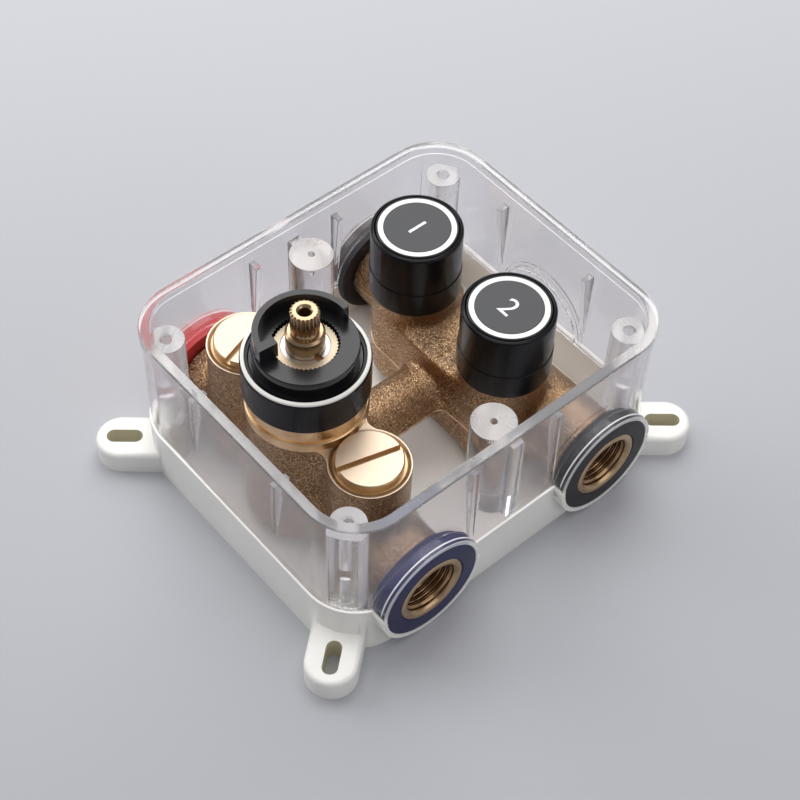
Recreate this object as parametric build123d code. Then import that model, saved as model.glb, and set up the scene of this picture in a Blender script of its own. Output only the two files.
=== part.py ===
from build123d import *
import math
import os

# Concealed thermostatic mixing valve with two push-button outlets.
# Millimetres, +Z up. The origin is under the middle of the box, on the surface that it stands on.
# The inlet line lies along X near the -Y side, and the outlet manifold near the +Y side.

# Box and tray
box_x = 124.0
box_y = 147.5
rim_height = 70.0
base_height = 22.5
corner_r = 20.5
lip_height = 4.7
lip_proud = 0.7
lip_edge_r = 0.6
wall = 3.1
base_wall = 3.5
floor_thick = 2.0
tongue_thick = 1.3
tongue_depth = 1.5
joint_gap = 0.1
loose_gap = 0.3
soft_edge = 0.3
fine_edge = 0.2
cut_past = 1.0

# Posts and ribs of the clear housing
post_x = 48.4
post_y = 62.4
post_r = 6.3
mid_post_inset = 10.3
mid_post_r = 8.0
mid_web = 5.0
post_top = 62.0
post_hole_r = 1.7
post_hole_depth = 20.0
post_hole_rim = 0.7
dimple_r = 1.2
dimple_end_r = 0.5
dimple_depth = 7.0
rib_x = 22.0
rib_y = 18.5
rib_thick = 2.4
rib_depth = 4.2
rib_tip = 1.2
rib_low_side = 29.0
rib_low_port = 27.5

# Ports: G1/2 inside thread in four brass spigots
port_z = 21.5
inlet_y = -40.4
outlet_y = 40.4
port_reach = 4.1
thread_r = 10.478
thread_depth = 15.0
mouth_r = 11.4
mouth_depth = 1.2
spigot_r = 13.3
spigot_edge = 0.5
gasket_r = 19.4
gasket_fit = 0.1
gasket_inside = 2.0
gasket_lip = 0.8
gasket_groove = 1.2
collar_thick = 1.7
blank_proud = 1.0
score_depth = 0.7
score_width = 0.8

# Ears of the tray
ear_x = 59.2
ear_y = 78.0
ear_angle = 50.0
ear_half = 9.2
ear_tip = 10.4
ear_thick = 9.5
ear_edge_r = 1.8
slot_length = 13.0
slot_width = 5.5

# Brass body
body_low = 7.0
pipe_r = 14.4
boss_x = 32.7
boss_r = 14.0
boss_top = 57.8
boss_rim_r = 13.1
boss_rim_depth = 1.0
chamber_r = 20.6
chamber_top = 57.8
web_fillet = 5.4
link_r = 10.0
link_z = 23.0
seam_z = 21.3
seam_proud = 0.6
seam_thick = 0.8
tower_x = 23.6
tower_y = 27.8
tower_r = 15.3
manifold_r = 14.6
manifold_top = 40.5
shoulder_flare = 1.4
tower_shoulder = 48.8
neck_r = 13.0
tower_top = 52.0
cast_r = 3.0
waterway_r = 6.5
bore_floor = 14.0
plug_bore_r = 11.0
plug_bore_depth = 10.5
check_bore_r = 9.8
cross_r = 3.6
hot_cross_z = 44.7
cold_cross_z = 37.8
chamber_bore_r = 16.8
chamber_floor = 12.0
nut_bore_r = 18.6
nut_bore_depth = 7.2
tower_bore_r = 11.6
tower_seat_r = 9.5
tower_seat_z = 24.0
gallery_z = 34.0
gallery_r = 4.5

# Slotted plugs over the inlet bosses
plug_r = 11.5
plug_proud = 2.6
plug_edge = 0.4
plug_flange_r = 12.3
plug_flange = 0.7
plug_slot_width = 2.1
plug_slot_depth = 1.9
plug_slot_cold = 74.7
plug_slot_hot = 107.9
seal_wire = 1.0

# Check valves under the plugs
check_r = 9.6
check_bottom = 14.4
check_top = 46.6
check_seat_z = 30.0
check_seat_r = 4.2
check_wall = 1.6
poppet_r = 5.6
poppet_travel = 3.0
poppet_thick = 1.6
poppet_stem_r = 1.4
check_lead = 1.0
seat_edge = 0.6
check_coil_r = 3.6
check_wire = 0.4
strainer_r = 8.0
strainer_wall = 0.6
strainer_rim = 1.0
strainer_lip = 2.0
strainer_slot = 1.6
strainer_slots = 6
strainer_band = 1.5

# Thermostatic cartridge, upwards from the chamber floor
nut_r = 20.95
nut_top = 68.9
nut_flange = 3.7
nut_groove_r = 20.1
nut_groove = 1.1
nut_edge = 0.4
nut_upper_r = 20.5
nut_inner_r = 17.3
nut_skirt_r = 18.5
nut_skirt_depth = 7.0
nut_upstand_r = 18.7
nut_upstand = 3.0
sleeve_r = 21.6
sleeve_bore_r = 18.9
sleeve_top = 82.0
sleeve_edge = 0.4
white_outer_r = 21.2
white_inner_r = 20.0
white_height = 0.9
clamp_z = 64.0
clamp_r = 15.6
head_foot_r = 16.6
head_upper_r = 15.3
head_drop = 2.6
stop_skirt_r = 18.5
stop_skirt_drop = 2.3
stop_waist_r = 17.1
stop_flange = 2.6
stop_r = 17.7
stop_flat = 88.6
stop_wall_height = 6.3
stop_wall_outer = 17.0
stop_wall_inner = 14.9
stop_hole_r = 11.5
stop_tooth = 0.6
stop_teeth = 48
stop_wall_start = 86.0
stop_wall_end = 264.0
tab_inner_r = 10.2
tab_thick = 3.2
disc_r = 10.7
disc_tooth = 0.5
disc_bore_r = 8.2
disc_sunk = 1.2
disc_thick = 3.4
foot_r = 8.0
foot_sunk = 2.3
clip_thick = 0.9
clip_gap = 2.4
shoulder_r = 6.55
shoulder_rise = 6.1
shoulder_edge = 0.8
running = 0.08
spindle_r = 4.5
spline_taper = 1.5
spline_length = 8.0
spline_tip_r = 4.85
spline_root_r = 4.25
spline_teeth = 20
spline_edge = 0.35
screw_hole_r = 1.9
screw_hole_depth = 12.0
screw_sink_r = 2.6
spindle_flange_r = 6.3
spindle_flange_drop = 2.5
spindle_flange = 2.5
drive_thread_r = 4.0
drive_thread_low = 56.5
drive_thread_run = 7.0
drive_thread_neck = 0.5
drive_lead = 3.2
drive_nut_r = 9.6
drive_nut_low = 48.6
drive_nut_top = 60.0
drive_cup_r = 7.2
drive_roof = 3.6
key_width = 3.0
key_proud = 1.3
case_r = 16.5
case_top = 50.0
case_bore_r = 12.2
case_floor = 2.4
hot_window_z = 44.7
cold_window_z = 37.8
window_height = 3.4
window_width = 6.0
mixed_low = 17.0
mixed_high = 28.0
ring_high_z = 48.1
ring_mid_z = 41.25
ring_low_z = 33.4
ring_groove_r = 15.1
ring_wire = 0.8
piston_low = 36.6
piston_high = 46.0
piston_wall = 1.5
piston_web = 2.0
hub_foot = 1.0
wax_r = 5.8
wax_low = 20.0
wax_top = 46.0
wax_edge = 1.0
wax_collar_r = 7.6
wax_collar = 1.6
wax_pin_r = 2.0
wax_pin_top = 54.0
return_coil_r = 8.6
return_wire = 0.9
overload_coil_r = 5.4
overload_wire = 0.7

# Buttons and diverters on the towers
collar_r = 16.6
collar_top = 59.5
collar_bore_r = 13.3
upstand_r = 14.6
upstand = 2.2
shell_r = 16.3
shell_bore_r = 15.0
shell_top = 77.2
shell_edge = 1.0
cap_r = 14.65
cap_top = 77.3
cap_low = 66.0
cap_bore_r = 13.0
cap_roof = 3.0
hub_r = 4.2
hub_low = 64.5
ring_outer_r = 13.8
ring_inner_r = 11.9
ring_depth = 0.8
face_r = 11.7
face_depth = 0.9
stem_r = 2.4
stem_top = 70.0
stem_fit = 0.05
divert_case_r = 11.3
divert_bore_r = 8.2
divert_seat = 2.5
divert_seat_r = 4.6
divert_guide = 5.0
divert_head_r = 13.0
divert_head = 3.0
divert_window = 7.0
divert_window_height = 7.2
divert_ring_z = 28.0
divert_poppet_r = 7.0
divert_poppet = 2.0
divert_seal = 1.5
button_coil_r = 6.4
button_wire = 0.8

# Screws from below
body_screw_r = 2.0
body_screw_reach = 4.5
body_head_r = 3.8
body_head = 2.6
body_head_room = 0.4
pad_r = 6.0
case_screw_r = 1.4
case_screw_fit = 0.06
case_screw_reach = 14.0
case_head_r = 3.3
case_head = 2.4
case_head_floor = 5.0
screw_clear = 0.35
case_screw_clear = 0.6
head_round = 0.7
screw_point = 1.0
cross_long = 4.2
cross_wide = 0.9
cross_deep = 1.2
coil_turns = 5

# Sizes that follow from the ones above
wall_x = box_x - 2 * lip_proud
wall_y = box_y - 2 * lip_proud
wall_r = corner_r - lip_proud
room_x = wall_x - 2 * wall
room_y = wall_y - 2 * wall
room_r = wall_r - wall
port_face = box_x / 2 + port_reach
shoulder_x = room_x / 2 - gasket_inside - joint_gap
gasket_hole_r = gasket_r + gasket_fit
collar_outer_r = gasket_hole_r + collar_thick
collar_face = port_face - joint_gap
mid_post_x = room_x / 2 - mid_post_inset
tongue_low = base_height - tongue_depth
stop_wall_top = stop_flat + stop_wall_height
disc_top = stop_flat - disc_sunk
disc_low = disc_top - disc_thick
head_top = disc_low - head_drop
stop_skirt_top = disc_low - stop_skirt_drop
foot_top = stop_flat - foot_sunk
shoulder_top = stop_flat + shoulder_rise
spline_low = shoulder_top + spline_taper
spindle_top = spline_low + spline_length
spindle_flange_top = disc_low - spindle_flange_drop
spindle_flange_low = spindle_flange_top - spindle_flange
drive_thread_top = spindle_flange_low - drive_thread_run
web_low = (piston_low + piston_high - piston_web) / 2
web_high = web_low + piston_web

BOTTOM = (Align.CENTER, Align.CENTER, Align.MIN)
SIDES = (-1, 1)


def upright(x, y, radius, low, high):
    """A cylinder along Z between two heights."""
    return Pos(x, y, low) * Cylinder(radius, high - low, align=BOTTOM)


def along_x(y, z, radius, start, end):
    """A cylinder along X between two places."""
    return Pos(min(start, end), y, z) * Rot(0, 90, 0) * Cylinder(radius, abs(end - start), align=BOTTOM)


def along_y(x, z, radius, start, end):
    """A cylinder along Y between two places."""
    return Pos(x, start, z) * Rot(-90, 0, 0) * Cylinder(radius, end - start, align=BOTTOM)


def rounded_block(size_x, size_y, radius, low, high):
    """A block with rounded upright edges, between two heights."""
    return Pos(0, 0, low) * extrude(RectangleRounded(size_x, size_y, radius), high - low)


def turned(x, y, profile):
    """A turned piece: a closed outline of (radius, height) points taken once round a vertical axis."""
    outline = Polyline(*[(radius, 0, height) for radius, height in profile], close=True)
    return Pos(x, y, 0) * revolve(make_face(outline), Axis.Z)


def toothed(x, y, root, tip, teeth, low, high):
    """A prism whose outline rises and falls between two radii, once for each tooth."""
    points = []
    for step in range(2 * teeth):
        radius = tip if step % 2 else root
        angle = math.pi * step / teeth
        points.append((radius * math.cos(angle), radius * math.sin(angle)))
    outline = make_face(Polyline(*points, close=True))
    return Pos(x, y, low) * extrude(outline, high - low)


def coil_spring(x, y, coil_r, wire_r, low, high, turns=coil_turns):
    """A helical spring of round wire that stands between two seats."""
    rise = high - low - 2 * wire_r
    path = Helix(pitch=rise / turns, height=rise, radius=coil_r)
    section = Plane(path @ 0, z_dir=path % 0) * Circle(wire_r)
    return Pos(x, y, low + wire_r) * sweep(section, path=path)


def seal_ring(x, y, inner_r, wire_r, z):
    """A rubber O-ring of round section."""
    return Pos(x, y, z) * Torus(inner_r + wire_r, wire_r)


def above(height):
    """The space above a height, as large as the box and its ports."""
    reach = 4 * box_y
    return Pos(0, 0, height) * Box(reach, reach, reach, align=BOTTOM)


def port_places():
    """The side and the line of each of the four ports."""
    return [(side, y) for y in (inlet_y, outlet_y) for side in SIDES]


def port_collar(side, y, start):
    """The ring that stands out of a wall round a port."""
    return along_x(y, port_z, collar_outer_r, side * start, side * collar_face)


def port_hole(side, y):
    """The hole that a port gasket fills."""
    return along_x(y, port_z, gasket_hole_r, side * shoulder_x, side * (port_face + cut_past))


def blank_ring(start, end, outer_r, inner_r):
    """A ring on the wall that has no port, centred where a fifth port would be."""
    hole = along_y(0, port_z, inner_r, start - cut_past, end + cut_past)
    return along_y(0, port_z, outer_r, start, end) - hole


def wall_rib(low):
    """A wedge that stands out of a wall, deep at its top and thin at its foot; the wall is at X = 0."""
    outline = Polyline(
        (wall / 2, 0, post_top), (-rib_depth, 0, post_top), (-rib_tip, 0, low),
        (0, 0, low - rib_depth), (wall / 2, 0, low - rib_depth), close=True)
    wedge = extrude(make_face(outline), rib_thick / 2, both=True)
    return wedge


def housing_ribs():
    """The wedges on all four walls."""
    ribs = []
    for side in SIDES:
        for step in SIDES:
            turn_x = 0 if side > 0 else 180
            ribs.append(Pos(side * room_x / 2, step * rib_y, 0) * Rot(0, 0, turn_x) * wall_rib(rib_low_port))
            ribs.append(
                Pos(step * rib_x, side * room_y / 2, 0) * Rot(0, 0, 90 * side) * wall_rib(rib_low_side))
    return ribs


def clear_housing():
    """The clear box: walls with a lip, posts, ribs and the upper part of each port collar."""
    lip = rounded_block(box_x, box_y, corner_r, rim_height - lip_height, rim_height)
    lip = fillet(lip.edges().group_by(Axis.Z)[-1], lip_edge_r)
    body = rounded_block(wall_x, wall_y, wall_r, base_height, rim_height - lip_height) + lip
    body += rounded_block(
        room_x + 2 * tongue_thick, room_y + 2 * tongue_thick, room_r + tongue_thick, tongue_low, base_height)
    body -= rounded_block(room_x, room_y, room_r, tongue_low - cut_past, rim_height + cut_past)
    for rib in housing_ribs():
        body += rib
    for side_x in SIDES:
        for side_y in SIDES:
            x = side_x * post_x
            y = side_y * post_y
            body += upright(x, y, post_r, base_height, post_top)
            body -= upright(x, y, post_hole_r, post_top - post_hole_depth, post_top)
            body -= Pos(x, y, post_top - post_hole_rim) * Cone(
                post_hole_r, post_hole_r + post_hole_rim, post_hole_rim, align=BOTTOM)
            body -= upright(x, y, case_screw_r + case_screw_fit, base_height, base_height + case_screw_reach)
        mid = side_x * mid_post_x
        body += upright(mid, 0, mid_post_r, base_height, post_top)
        web = Pos(side_x * (room_x / 2 - mid_post_inset / 2), 0, base_height) * Box(
            mid_post_inset + wall / 2, mid_web, post_top - base_height - post_hole_rim, align=BOTTOM)
        body += web
        dimple = Cone(dimple_end_r, dimple_r, dimple_depth, align=BOTTOM)
        body -= Pos(mid, 0, post_top - dimple_depth) * dimple
    upper = above(base_height)
    for side, y in port_places():
        body += port_collar(side, y, room_x / 2 + wall / 2) & upper
        body -= port_hole(side, y)
    outside = wall_y / 2
    body += blank_ring(outside - wall / 2, outside + blank_proud, collar_outer_r, gasket_hole_r) & upper
    inside = room_y / 2
    body -= blank_ring(inside - cut_past, inside + score_depth, gasket_hole_r, gasket_hole_r - score_width)
    return body


def ear(side_x, side_y):
    """One fixing ear: a rounded tongue on the box's diagonal, thick, with soft upper edges."""
    inner = ear_tip + slot_length
    outline = Pos(-inner / 2, 0) * Rectangle(inner, 2 * ear_half) + Circle(ear_half)
    block = extrude(outline, ear_thick)
    block = fillet(block.edges().group_by(Axis.Z)[-1], ear_edge_r)
    angle = math.degrees(math.atan2(side_y * math.sin(math.radians(ear_angle)),
                                    side_x * math.cos(math.radians(ear_angle))))
    return Pos(side_x * ear_x, side_y * ear_y, 0) * Rot(0, 0, angle) * Pos(ear_tip - ear_half, 0, 0) * block


def ear_slot(side_x, side_y):
    """The slot through one ear, along the box's diagonal."""
    turn = math.copysign(ear_angle, side_x * side_y)
    slot = extrude(SlotOverall(slot_length, slot_width), ear_thick + 2)
    return Pos(side_x * ear_x, side_y * ear_y, -1) * Rot(0, 0, turn) * slot


def base_frame():
    """The white tray: floor, walls, ears, half collars, screw columns and pads for the brass body."""
    body = rounded_block(box_x, box_y, corner_r, 0, base_height)
    for side_x in SIDES:
        for side_y in SIDES:
            body += ear(side_x, side_y)
    body -= rounded_block(
        box_x - 2 * base_wall, box_y - 2 * base_wall, corner_r - base_wall, floor_thick,
        base_height + cut_past)
    columns = []
    for side_x in SIDES:
        for side_y in SIDES:
            columns.append((side_x * post_x, side_y * post_y))
            body -= ear_slot(side_x, side_y)
    for x, y in columns:
        body += upright(x, y, post_r, 0, base_height)
    for x, y in body_screw_places():
        body += upright(x, y, pad_r, 0, body_low)
    tongue_grow = 2 * (tongue_thick + joint_gap)
    body -= rounded_block(
        room_x + tongue_grow, room_y + tongue_grow, room_r + tongue_grow / 2,
        tongue_low - joint_gap, base_height + cut_past) - rounded_block(
        room_x, room_y, room_r, 0, base_height + 2 * cut_past)
    lower = Pos(0, 0, base_height) * Box(4 * box_x, 4 * box_y, base_height, align=(
        Align.CENTER, Align.CENTER, Align.MAX))
    for side, y in port_places():
        body += port_collar(side, y, box_x / 2 - base_wall / 2) & lower
    for side, y in port_places():
        body -= port_hole(side, y)
    outside = wall_y / 2
    body += blank_ring(outside, outside + blank_proud, collar_outer_r, gasket_hole_r) & lower
    for x, y in columns:
        body -= upright(x, y, case_screw_r + case_screw_clear, 0, base_height)
        body -= upright(x, y, case_head_r + screw_clear, 0, case_head_floor)
    for x, y in body_screw_places():
        body -= upright(x, y, body_screw_r + screw_clear, 0, body_low)
        body -= upright(x, y, body_head_r + screw_clear, 0, body_head + body_head_room)
    return body


def body_screw_places():
    """Where the screws that hold the brass body stand: under its inlet bosses and its towers."""
    return [(side * x, y) for x, y in ((boss_x, inlet_y), (tower_x, tower_y)) for side in SIDES]


def cast_column(x, y, radius, high):
    """An upright cylinder of the casting, with a rounded lower edge."""
    column = upright(x, y, radius, body_low, high)
    return fillet(column.edges().group_by(Axis.Z)[0], cast_r)


def inlet_web(side):
    """The web that joins the chamber and one inlet boss, hollowed on both flanks by one round each."""
    reach = chamber_r + web_fillet
    lean = boss_r + web_fillet
    along = (reach ** 2 - lean ** 2 + boss_x ** 2) / (2 * boss_x)
    across = math.sqrt(reach ** 2 - along ** 2)
    kite = Polyline((0, 0), (along, across), (boss_x, 0), (along, -across), close=True)
    block = Pos(0, inlet_y, port_z) * extrude(make_face(kite), chamber_top - port_z)
    for flank in SIDES:
        block -= upright(
            along, inlet_y + flank * across, web_fillet, port_z - cut_past, chamber_top + cut_past)
    return block if side > 0 else mirror(block, Plane.YZ)


def manifold_block():
    """The block between the two towers, with rounded ends and edges."""
    block = Pos(0, tower_y, body_low) * extrude(
        SlotCenterToCenter(2 * tower_x, 2 * manifold_r), manifold_top - body_low)
    block = fillet(block.edges().group_by(Axis.Z)[0], cast_r)
    seam = Pos(0, tower_y, seam_z) * extrude(
        SlotCenterToCenter(2 * tower_x, 2 * (manifold_r + seam_proud)), seam_thick)
    plan = Pos(0, tower_y, manifold_top) * extrude(
        SlotCenterToCenter(2 * tower_x, 2 * manifold_r), tower_shoulder - manifold_top)
    for side in SIDES:
        flare = Pos(side * tower_x, tower_y, manifold_top) * Cone(
            tower_r + shoulder_flare, tower_r, shoulder_flare, align=BOTTOM)
        block += flare & plan
    return block + seam


def link_pipe():
    """The pipe from the chamber to the manifold, with the raised line of the mould's parting."""
    pipe = along_y(0, link_z, link_r, inlet_y, tower_y)
    seam = Pos(0, inlet_y, seam_z) * Box(
        2 * (link_r + seam_proud), tower_y - inlet_y, seam_thick,
        align=(Align.CENTER, Align.MIN, Align.MIN))
    return pipe + seam


def port_bore(side, y):
    """The threaded hole of one port at its thread's outer radius, with its chamfered mouth."""
    deep = port_face - thread_depth
    bore = along_x(y, port_z, thread_r, side * deep, side * port_face)
    mouth = Pos(side * (port_face - mouth_depth), y, port_z) * Rot(0, 90 * side, 0) * Cone(
        thread_r, mouth_r, mouth_depth, align=BOTTOM)
    return bore + mouth


def valve_body():
    """The brass casting, bored out: inlet line, chamber, webs, link pipe, manifold, towers and ports."""
    body = along_x(inlet_y, port_z, pipe_r, -shoulder_x, shoulder_x)
    for side in SIDES:
        body += cast_column(side * boss_x, inlet_y, boss_r, boss_top)
        body += inlet_web(side)
        body += along_x(outlet_y, port_z, pipe_r, side * tower_x, side * shoulder_x)
    for side, y in port_places():
        spigot = along_x(y, port_z, spigot_r, side * (shoulder_x - cut_past), side * port_face)
        rim = spigot.edges().sort_by(Axis.X)[-1 if side > 0 else 0]
        body += chamfer(rim, spigot_edge)
    body += cast_column(0, inlet_y, chamber_r, chamber_top)
    body += link_pipe()
    body += manifold_block()
    for side in SIDES:
        body += cast_column(side * tower_x, tower_y, tower_r, tower_shoulder)
        body += upright(side * tower_x, tower_y, neck_r, tower_shoulder, tower_top)
    return body - body_bores()


def body_bores():
    """Every hole and water passage of the casting."""
    bores = upright(0, inlet_y, chamber_bore_r, chamber_floor, chamber_top)
    bores += upright(0, inlet_y, nut_bore_r, chamber_top - nut_bore_depth, chamber_top)
    bores += along_y(0, link_z, waterway_r, inlet_y, tower_y)
    bores += upright(0, tower_y, waterway_r, link_z, gallery_z)
    bores += along_x(tower_y, gallery_z, gallery_r, -tower_x, tower_x)
    for side in SIDES:
        x = side * boss_x
        bores += upright(x, inlet_y, check_bore_r, bore_floor, boss_top)
        bores += upright(x, inlet_y, plug_bore_r, boss_top - plug_bore_depth, boss_top)
        bores += upright(x, inlet_y, boss_rim_r, boss_top - boss_rim_depth, boss_top)
        bores += along_x(inlet_y, port_z, waterway_r, x, side * port_face)
        cross_z = cold_cross_z if side > 0 else hot_cross_z
        bores += along_x(inlet_y, cross_z, cross_r, 0, x)
        tower = side * tower_x
        bores += upright(tower, tower_y, tower_seat_r, bore_floor, tower_top)
        bores += upright(tower, tower_y, tower_bore_r, tower_seat_z, tower_top)
        bores += along_x(outlet_y, port_z, waterway_r, tower, side * port_face)
    for side, y in port_places():
        bores += port_bore(side, y)
    for x, y in body_screw_places():
        deep = body_low + body_screw_reach + loose_gap
        bores += upright(x, y, body_screw_r + case_screw_fit, body_low, deep)
    return bores


def port_gasket(side, y):
    """One port's rubber ring: it fills the collar and reaches inside the wall, with a groove round it."""
    start = shoulder_x + joint_gap
    ring = along_x(y, port_z, gasket_r, side * start, side * (collar_face - joint_gap))
    groove_start = room_x / 2 + gasket_groove
    groove_end = groove_start + gasket_groove
    groove = along_x(y, port_z, gasket_r + cut_past, side * groove_start, side * groove_end)
    groove -= along_x(y, port_z, gasket_r - gasket_lip, side * (groove_start - cut_past), side * port_face)
    hole = along_x(y, port_z, spigot_r + gasket_fit, side * (start - cut_past), side * port_face)
    return ring - hole - groove


def plug_cap(side):
    """A slotted brass plug screwed into an inlet boss."""
    x = side * boss_x
    top = boss_top + plug_proud
    low = boss_top - plug_bore_depth + seal_wire * 2
    body_r = plug_bore_r - joint_gap
    seat = boss_top - boss_rim_depth
    plug = turned(x, inlet_y, [
        (0, low), (body_r, low), (body_r, seat), (plug_flange_r, seat),
        (plug_flange_r, seat + plug_flange), (plug_r, seat + plug_flange),
        (plug_r, top - plug_edge), (plug_r - plug_edge, top), (0, top)])
    turn = plug_slot_cold if side > 0 else plug_slot_hot
    slot = Box(3 * plug_r, plug_slot_width, plug_slot_depth, align=(Align.CENTER, Align.CENTER, Align.MAX))
    return plug - Pos(x, inlet_y, top) * Rot(0, 0, turn) * slot


def plug_seal(side):
    """The O-ring under a plug."""
    inner = plug_bore_r - joint_gap - 2 * seal_wire
    z = boss_top - plug_bore_depth + seal_wire
    return seal_ring(side * boss_x, inlet_y, inner, seal_wire - joint_gap / 2, z)


def check_housing(side):
    """The moulded tube of one check valve: open below, a seat in the middle, windows above it."""
    bore = check_r - check_wall
    lower_bore = strainer_r - check_wall
    tube = turned(side * boss_x, inlet_y, [
        (check_seat_r, check_seat_z - check_wall), (bore, check_seat_z - check_wall - check_lead),
        (bore, check_seat_z - 2 * check_wall), (check_r, check_seat_z - 2 * check_wall),
        (check_r, check_top), (poppet_stem_r + loose_gap, check_top),
        (poppet_stem_r + loose_gap, check_top - check_wall), (bore, check_top - check_wall),
        (bore, check_seat_z), (check_seat_r, check_seat_z)])
    cross_z = cold_cross_z if side > 0 else hot_cross_z
    window = 2 * cross_r
    tube -= Pos(side * boss_x, inlet_y, cross_z) * Box(4 * check_r, window, window / 2)
    tube -= Pos(side * boss_x, inlet_y, cross_z) * Box(window, 4 * check_r, window / 2)
    return tube


def strainer(side):
    """The wire strainer in one inlet boss: a thin tube with rows of slots, closed below by a rim."""
    x = side * boss_x
    top = check_seat_z - 2 * check_wall
    inner = strainer_r - strainer_wall
    rim_top = check_bottom + strainer_rim
    lip_top = rim_top + strainer_rim
    tube = turned(x, inlet_y, [
        (strainer_r - strainer_lip, check_bottom), (strainer_r + strainer_rim, check_bottom),
        (strainer_r + strainer_rim, rim_top), (strainer_r, rim_top), (strainer_r, top), (inner, top),
        (inner, lip_top), (strainer_r - strainer_lip, lip_top)])
    low = lip_top + strainer_band
    slot = Box(3 * strainer_r, strainer_slot, top - strainer_band - low, align=BOTTOM)
    for step in range(strainer_slots):
        tube -= Pos(x, inlet_y, low) * Rot(0, 0, step * 180 / strainer_slots) * slot
    return tube


def check_poppet(side):
    """One check valve's poppet: a disc on its stem, which lifts off the seat when water flows."""
    low = check_seat_z + loose_gap
    stem_top = check_top - check_wall - poppet_travel
    return turned(side * boss_x, inlet_y, [
        (0, low - check_lead), (check_seat_r - check_lead, low - check_lead), (check_seat_r - seat_edge, low),
        (poppet_r, low), (poppet_r, low + poppet_thick), (poppet_stem_r, low + poppet_thick + check_lead),
        (poppet_stem_r, stem_top), (0, stem_top)])


def check_spring(side):
    """One check valve's spring, between its poppet and the top of its tube."""
    low = check_seat_z + loose_gap + poppet_thick + check_lead
    high = check_top - check_wall - joint_gap
    return coil_spring(side * boss_x, inlet_y, check_coil_r, check_wire, low, high)


def cartridge_nut():
    """The machined brass nut that clamps the cartridge into the chamber."""
    groove_low = chamber_top + nut_flange
    groove_high = groove_low + nut_groove
    skirt_low = chamber_top - nut_skirt_depth
    return turned(0, inlet_y, [
        (nut_inner_r, skirt_low), (nut_skirt_r, skirt_low), (nut_skirt_r, chamber_top),
        (nut_r, chamber_top), (nut_r, groove_low - nut_edge), (nut_r - nut_edge, groove_low),
        (nut_groove_r, groove_low), (nut_groove_r, groove_high), (nut_upper_r, groove_high + nut_edge),
        (nut_upper_r, nut_top), (nut_upstand_r, nut_top), (nut_upstand_r, nut_top + nut_upstand),
        (clamp_r, nut_top + nut_upstand), (clamp_r, clamp_z), (nut_inner_r, clamp_z)])


def cartridge_sleeve():
    """The black sleeve that stands on the nut."""
    return turned(0, inlet_y, [
        (sleeve_bore_r, nut_top), (sleeve_r, nut_top), (sleeve_r, sleeve_top - sleeve_edge),
        (sleeve_r - sleeve_edge, sleeve_top), (sleeve_bore_r, sleeve_top)])


def sleeve_ring():
    """The thin white ring on the sleeve."""
    high = sleeve_top + white_height
    return turned(0, inlet_y, [
        (white_inner_r, sleeve_top), (white_outer_r, sleeve_top), (white_outer_r, high - soft_edge),
        (white_outer_r - soft_edge, high), (white_inner_r, high)])


def cartridge_head():
    """The black head of the cartridge: the nut clamps its shoulder, and it houses the drive nut."""
    drive_room = drive_nut_r + loose_gap
    roof = drive_nut_top + drive_lead
    flange_bore = spindle_flange_r + loose_gap
    head = turned(0, inlet_y, [
        (drive_room, case_top + joint_gap), (head_foot_r, case_top + joint_gap),
        (head_foot_r, clamp_z), (head_upper_r, clamp_z), (head_upper_r, head_top),
        (disc_r, head_top), (disc_r, disc_low), (disc_bore_r + joint_gap, disc_low),
        (disc_bore_r + joint_gap, spindle_flange_top + loose_gap),
        (flange_bore, spindle_flange_top + loose_gap), (flange_bore, spindle_flange_low - loose_gap),
        (spindle_r + loose_gap, spindle_flange_low - loose_gap), (spindle_r + loose_gap, roof),
        (drive_room, roof)])
    key = Box(2 * (drive_room + key_proud), key_width + loose_gap, roof - case_top, align=BOTTOM)
    return head - Pos(0, inlet_y, case_top) * key


def stop_ring():
    """The black stop ring: a skirt on the nut, a toothed hole, a flat, and a curved wall with a tab."""
    seat = nut_top + nut_upstand
    bevel = (stop_r - stop_waist_r) / 2
    tooth_r = stop_hole_r - stop_tooth
    ring = turned(0, inlet_y, [
        (clamp_r, seat), (stop_skirt_r, seat), (stop_skirt_r, stop_skirt_top), (stop_waist_r, stop_skirt_top),
        (stop_waist_r, stop_flat - stop_flange), (stop_r, stop_flat - stop_flange + bevel),
        (stop_r, stop_flat - bevel), (stop_r - bevel, stop_flat), (tooth_r, stop_flat), (tooth_r, disc_low),
        (clamp_r, disc_low - joint_gap)])
    ring -= toothed(0, inlet_y, stop_hole_r - stop_tooth, stop_hole_r, stop_teeth, disc_low, stop_flat)
    sweep_angle = stop_wall_end - stop_wall_start
    section = Polyline(
        (stop_wall_inner, 0, stop_flat), (stop_wall_outer, 0, stop_flat),
        (stop_wall_outer, 0, stop_wall_top), (stop_wall_inner, 0, stop_wall_top), close=True)
    curved = revolve(make_face(section), Axis.Z, sweep_angle)
    ring += Pos(0, inlet_y, 0) * Rot(0, 0, stop_wall_start) * curved
    tab = Pos(tab_inner_r, -tab_thick / 2, stop_flat) * Box(
        stop_wall_outer - tab_inner_r - joint_gap, tab_thick, stop_wall_top - stop_flat,
        align=(Align.MIN, Align.CENTER, Align.MIN))
    ring += Pos(0, inlet_y, 0) * Rot(0, 0, stop_wall_end) * tab
    return ring


def serrated_disc():
    """The pale brass disc whose serrations index the stop ring."""
    disc = toothed(0, inlet_y, disc_r - disc_tooth, disc_r, stop_teeth, disc_low, disc_top)
    return disc - upright(0, inlet_y, disc_bore_r, disc_low, disc_top)


def spindle_neck():
    """The turned brass neck that the spindle runs in."""
    bore = spindle_r + running
    low = spindle_flange_top + loose_gap
    return turned(0, inlet_y, [
        (bore, low), (foot_r, low), (foot_r, foot_top), (shoulder_r, foot_top),
        (shoulder_r, shoulder_top - shoulder_edge), (shoulder_r - shoulder_edge, shoulder_top),
        (bore, shoulder_top)])


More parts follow.
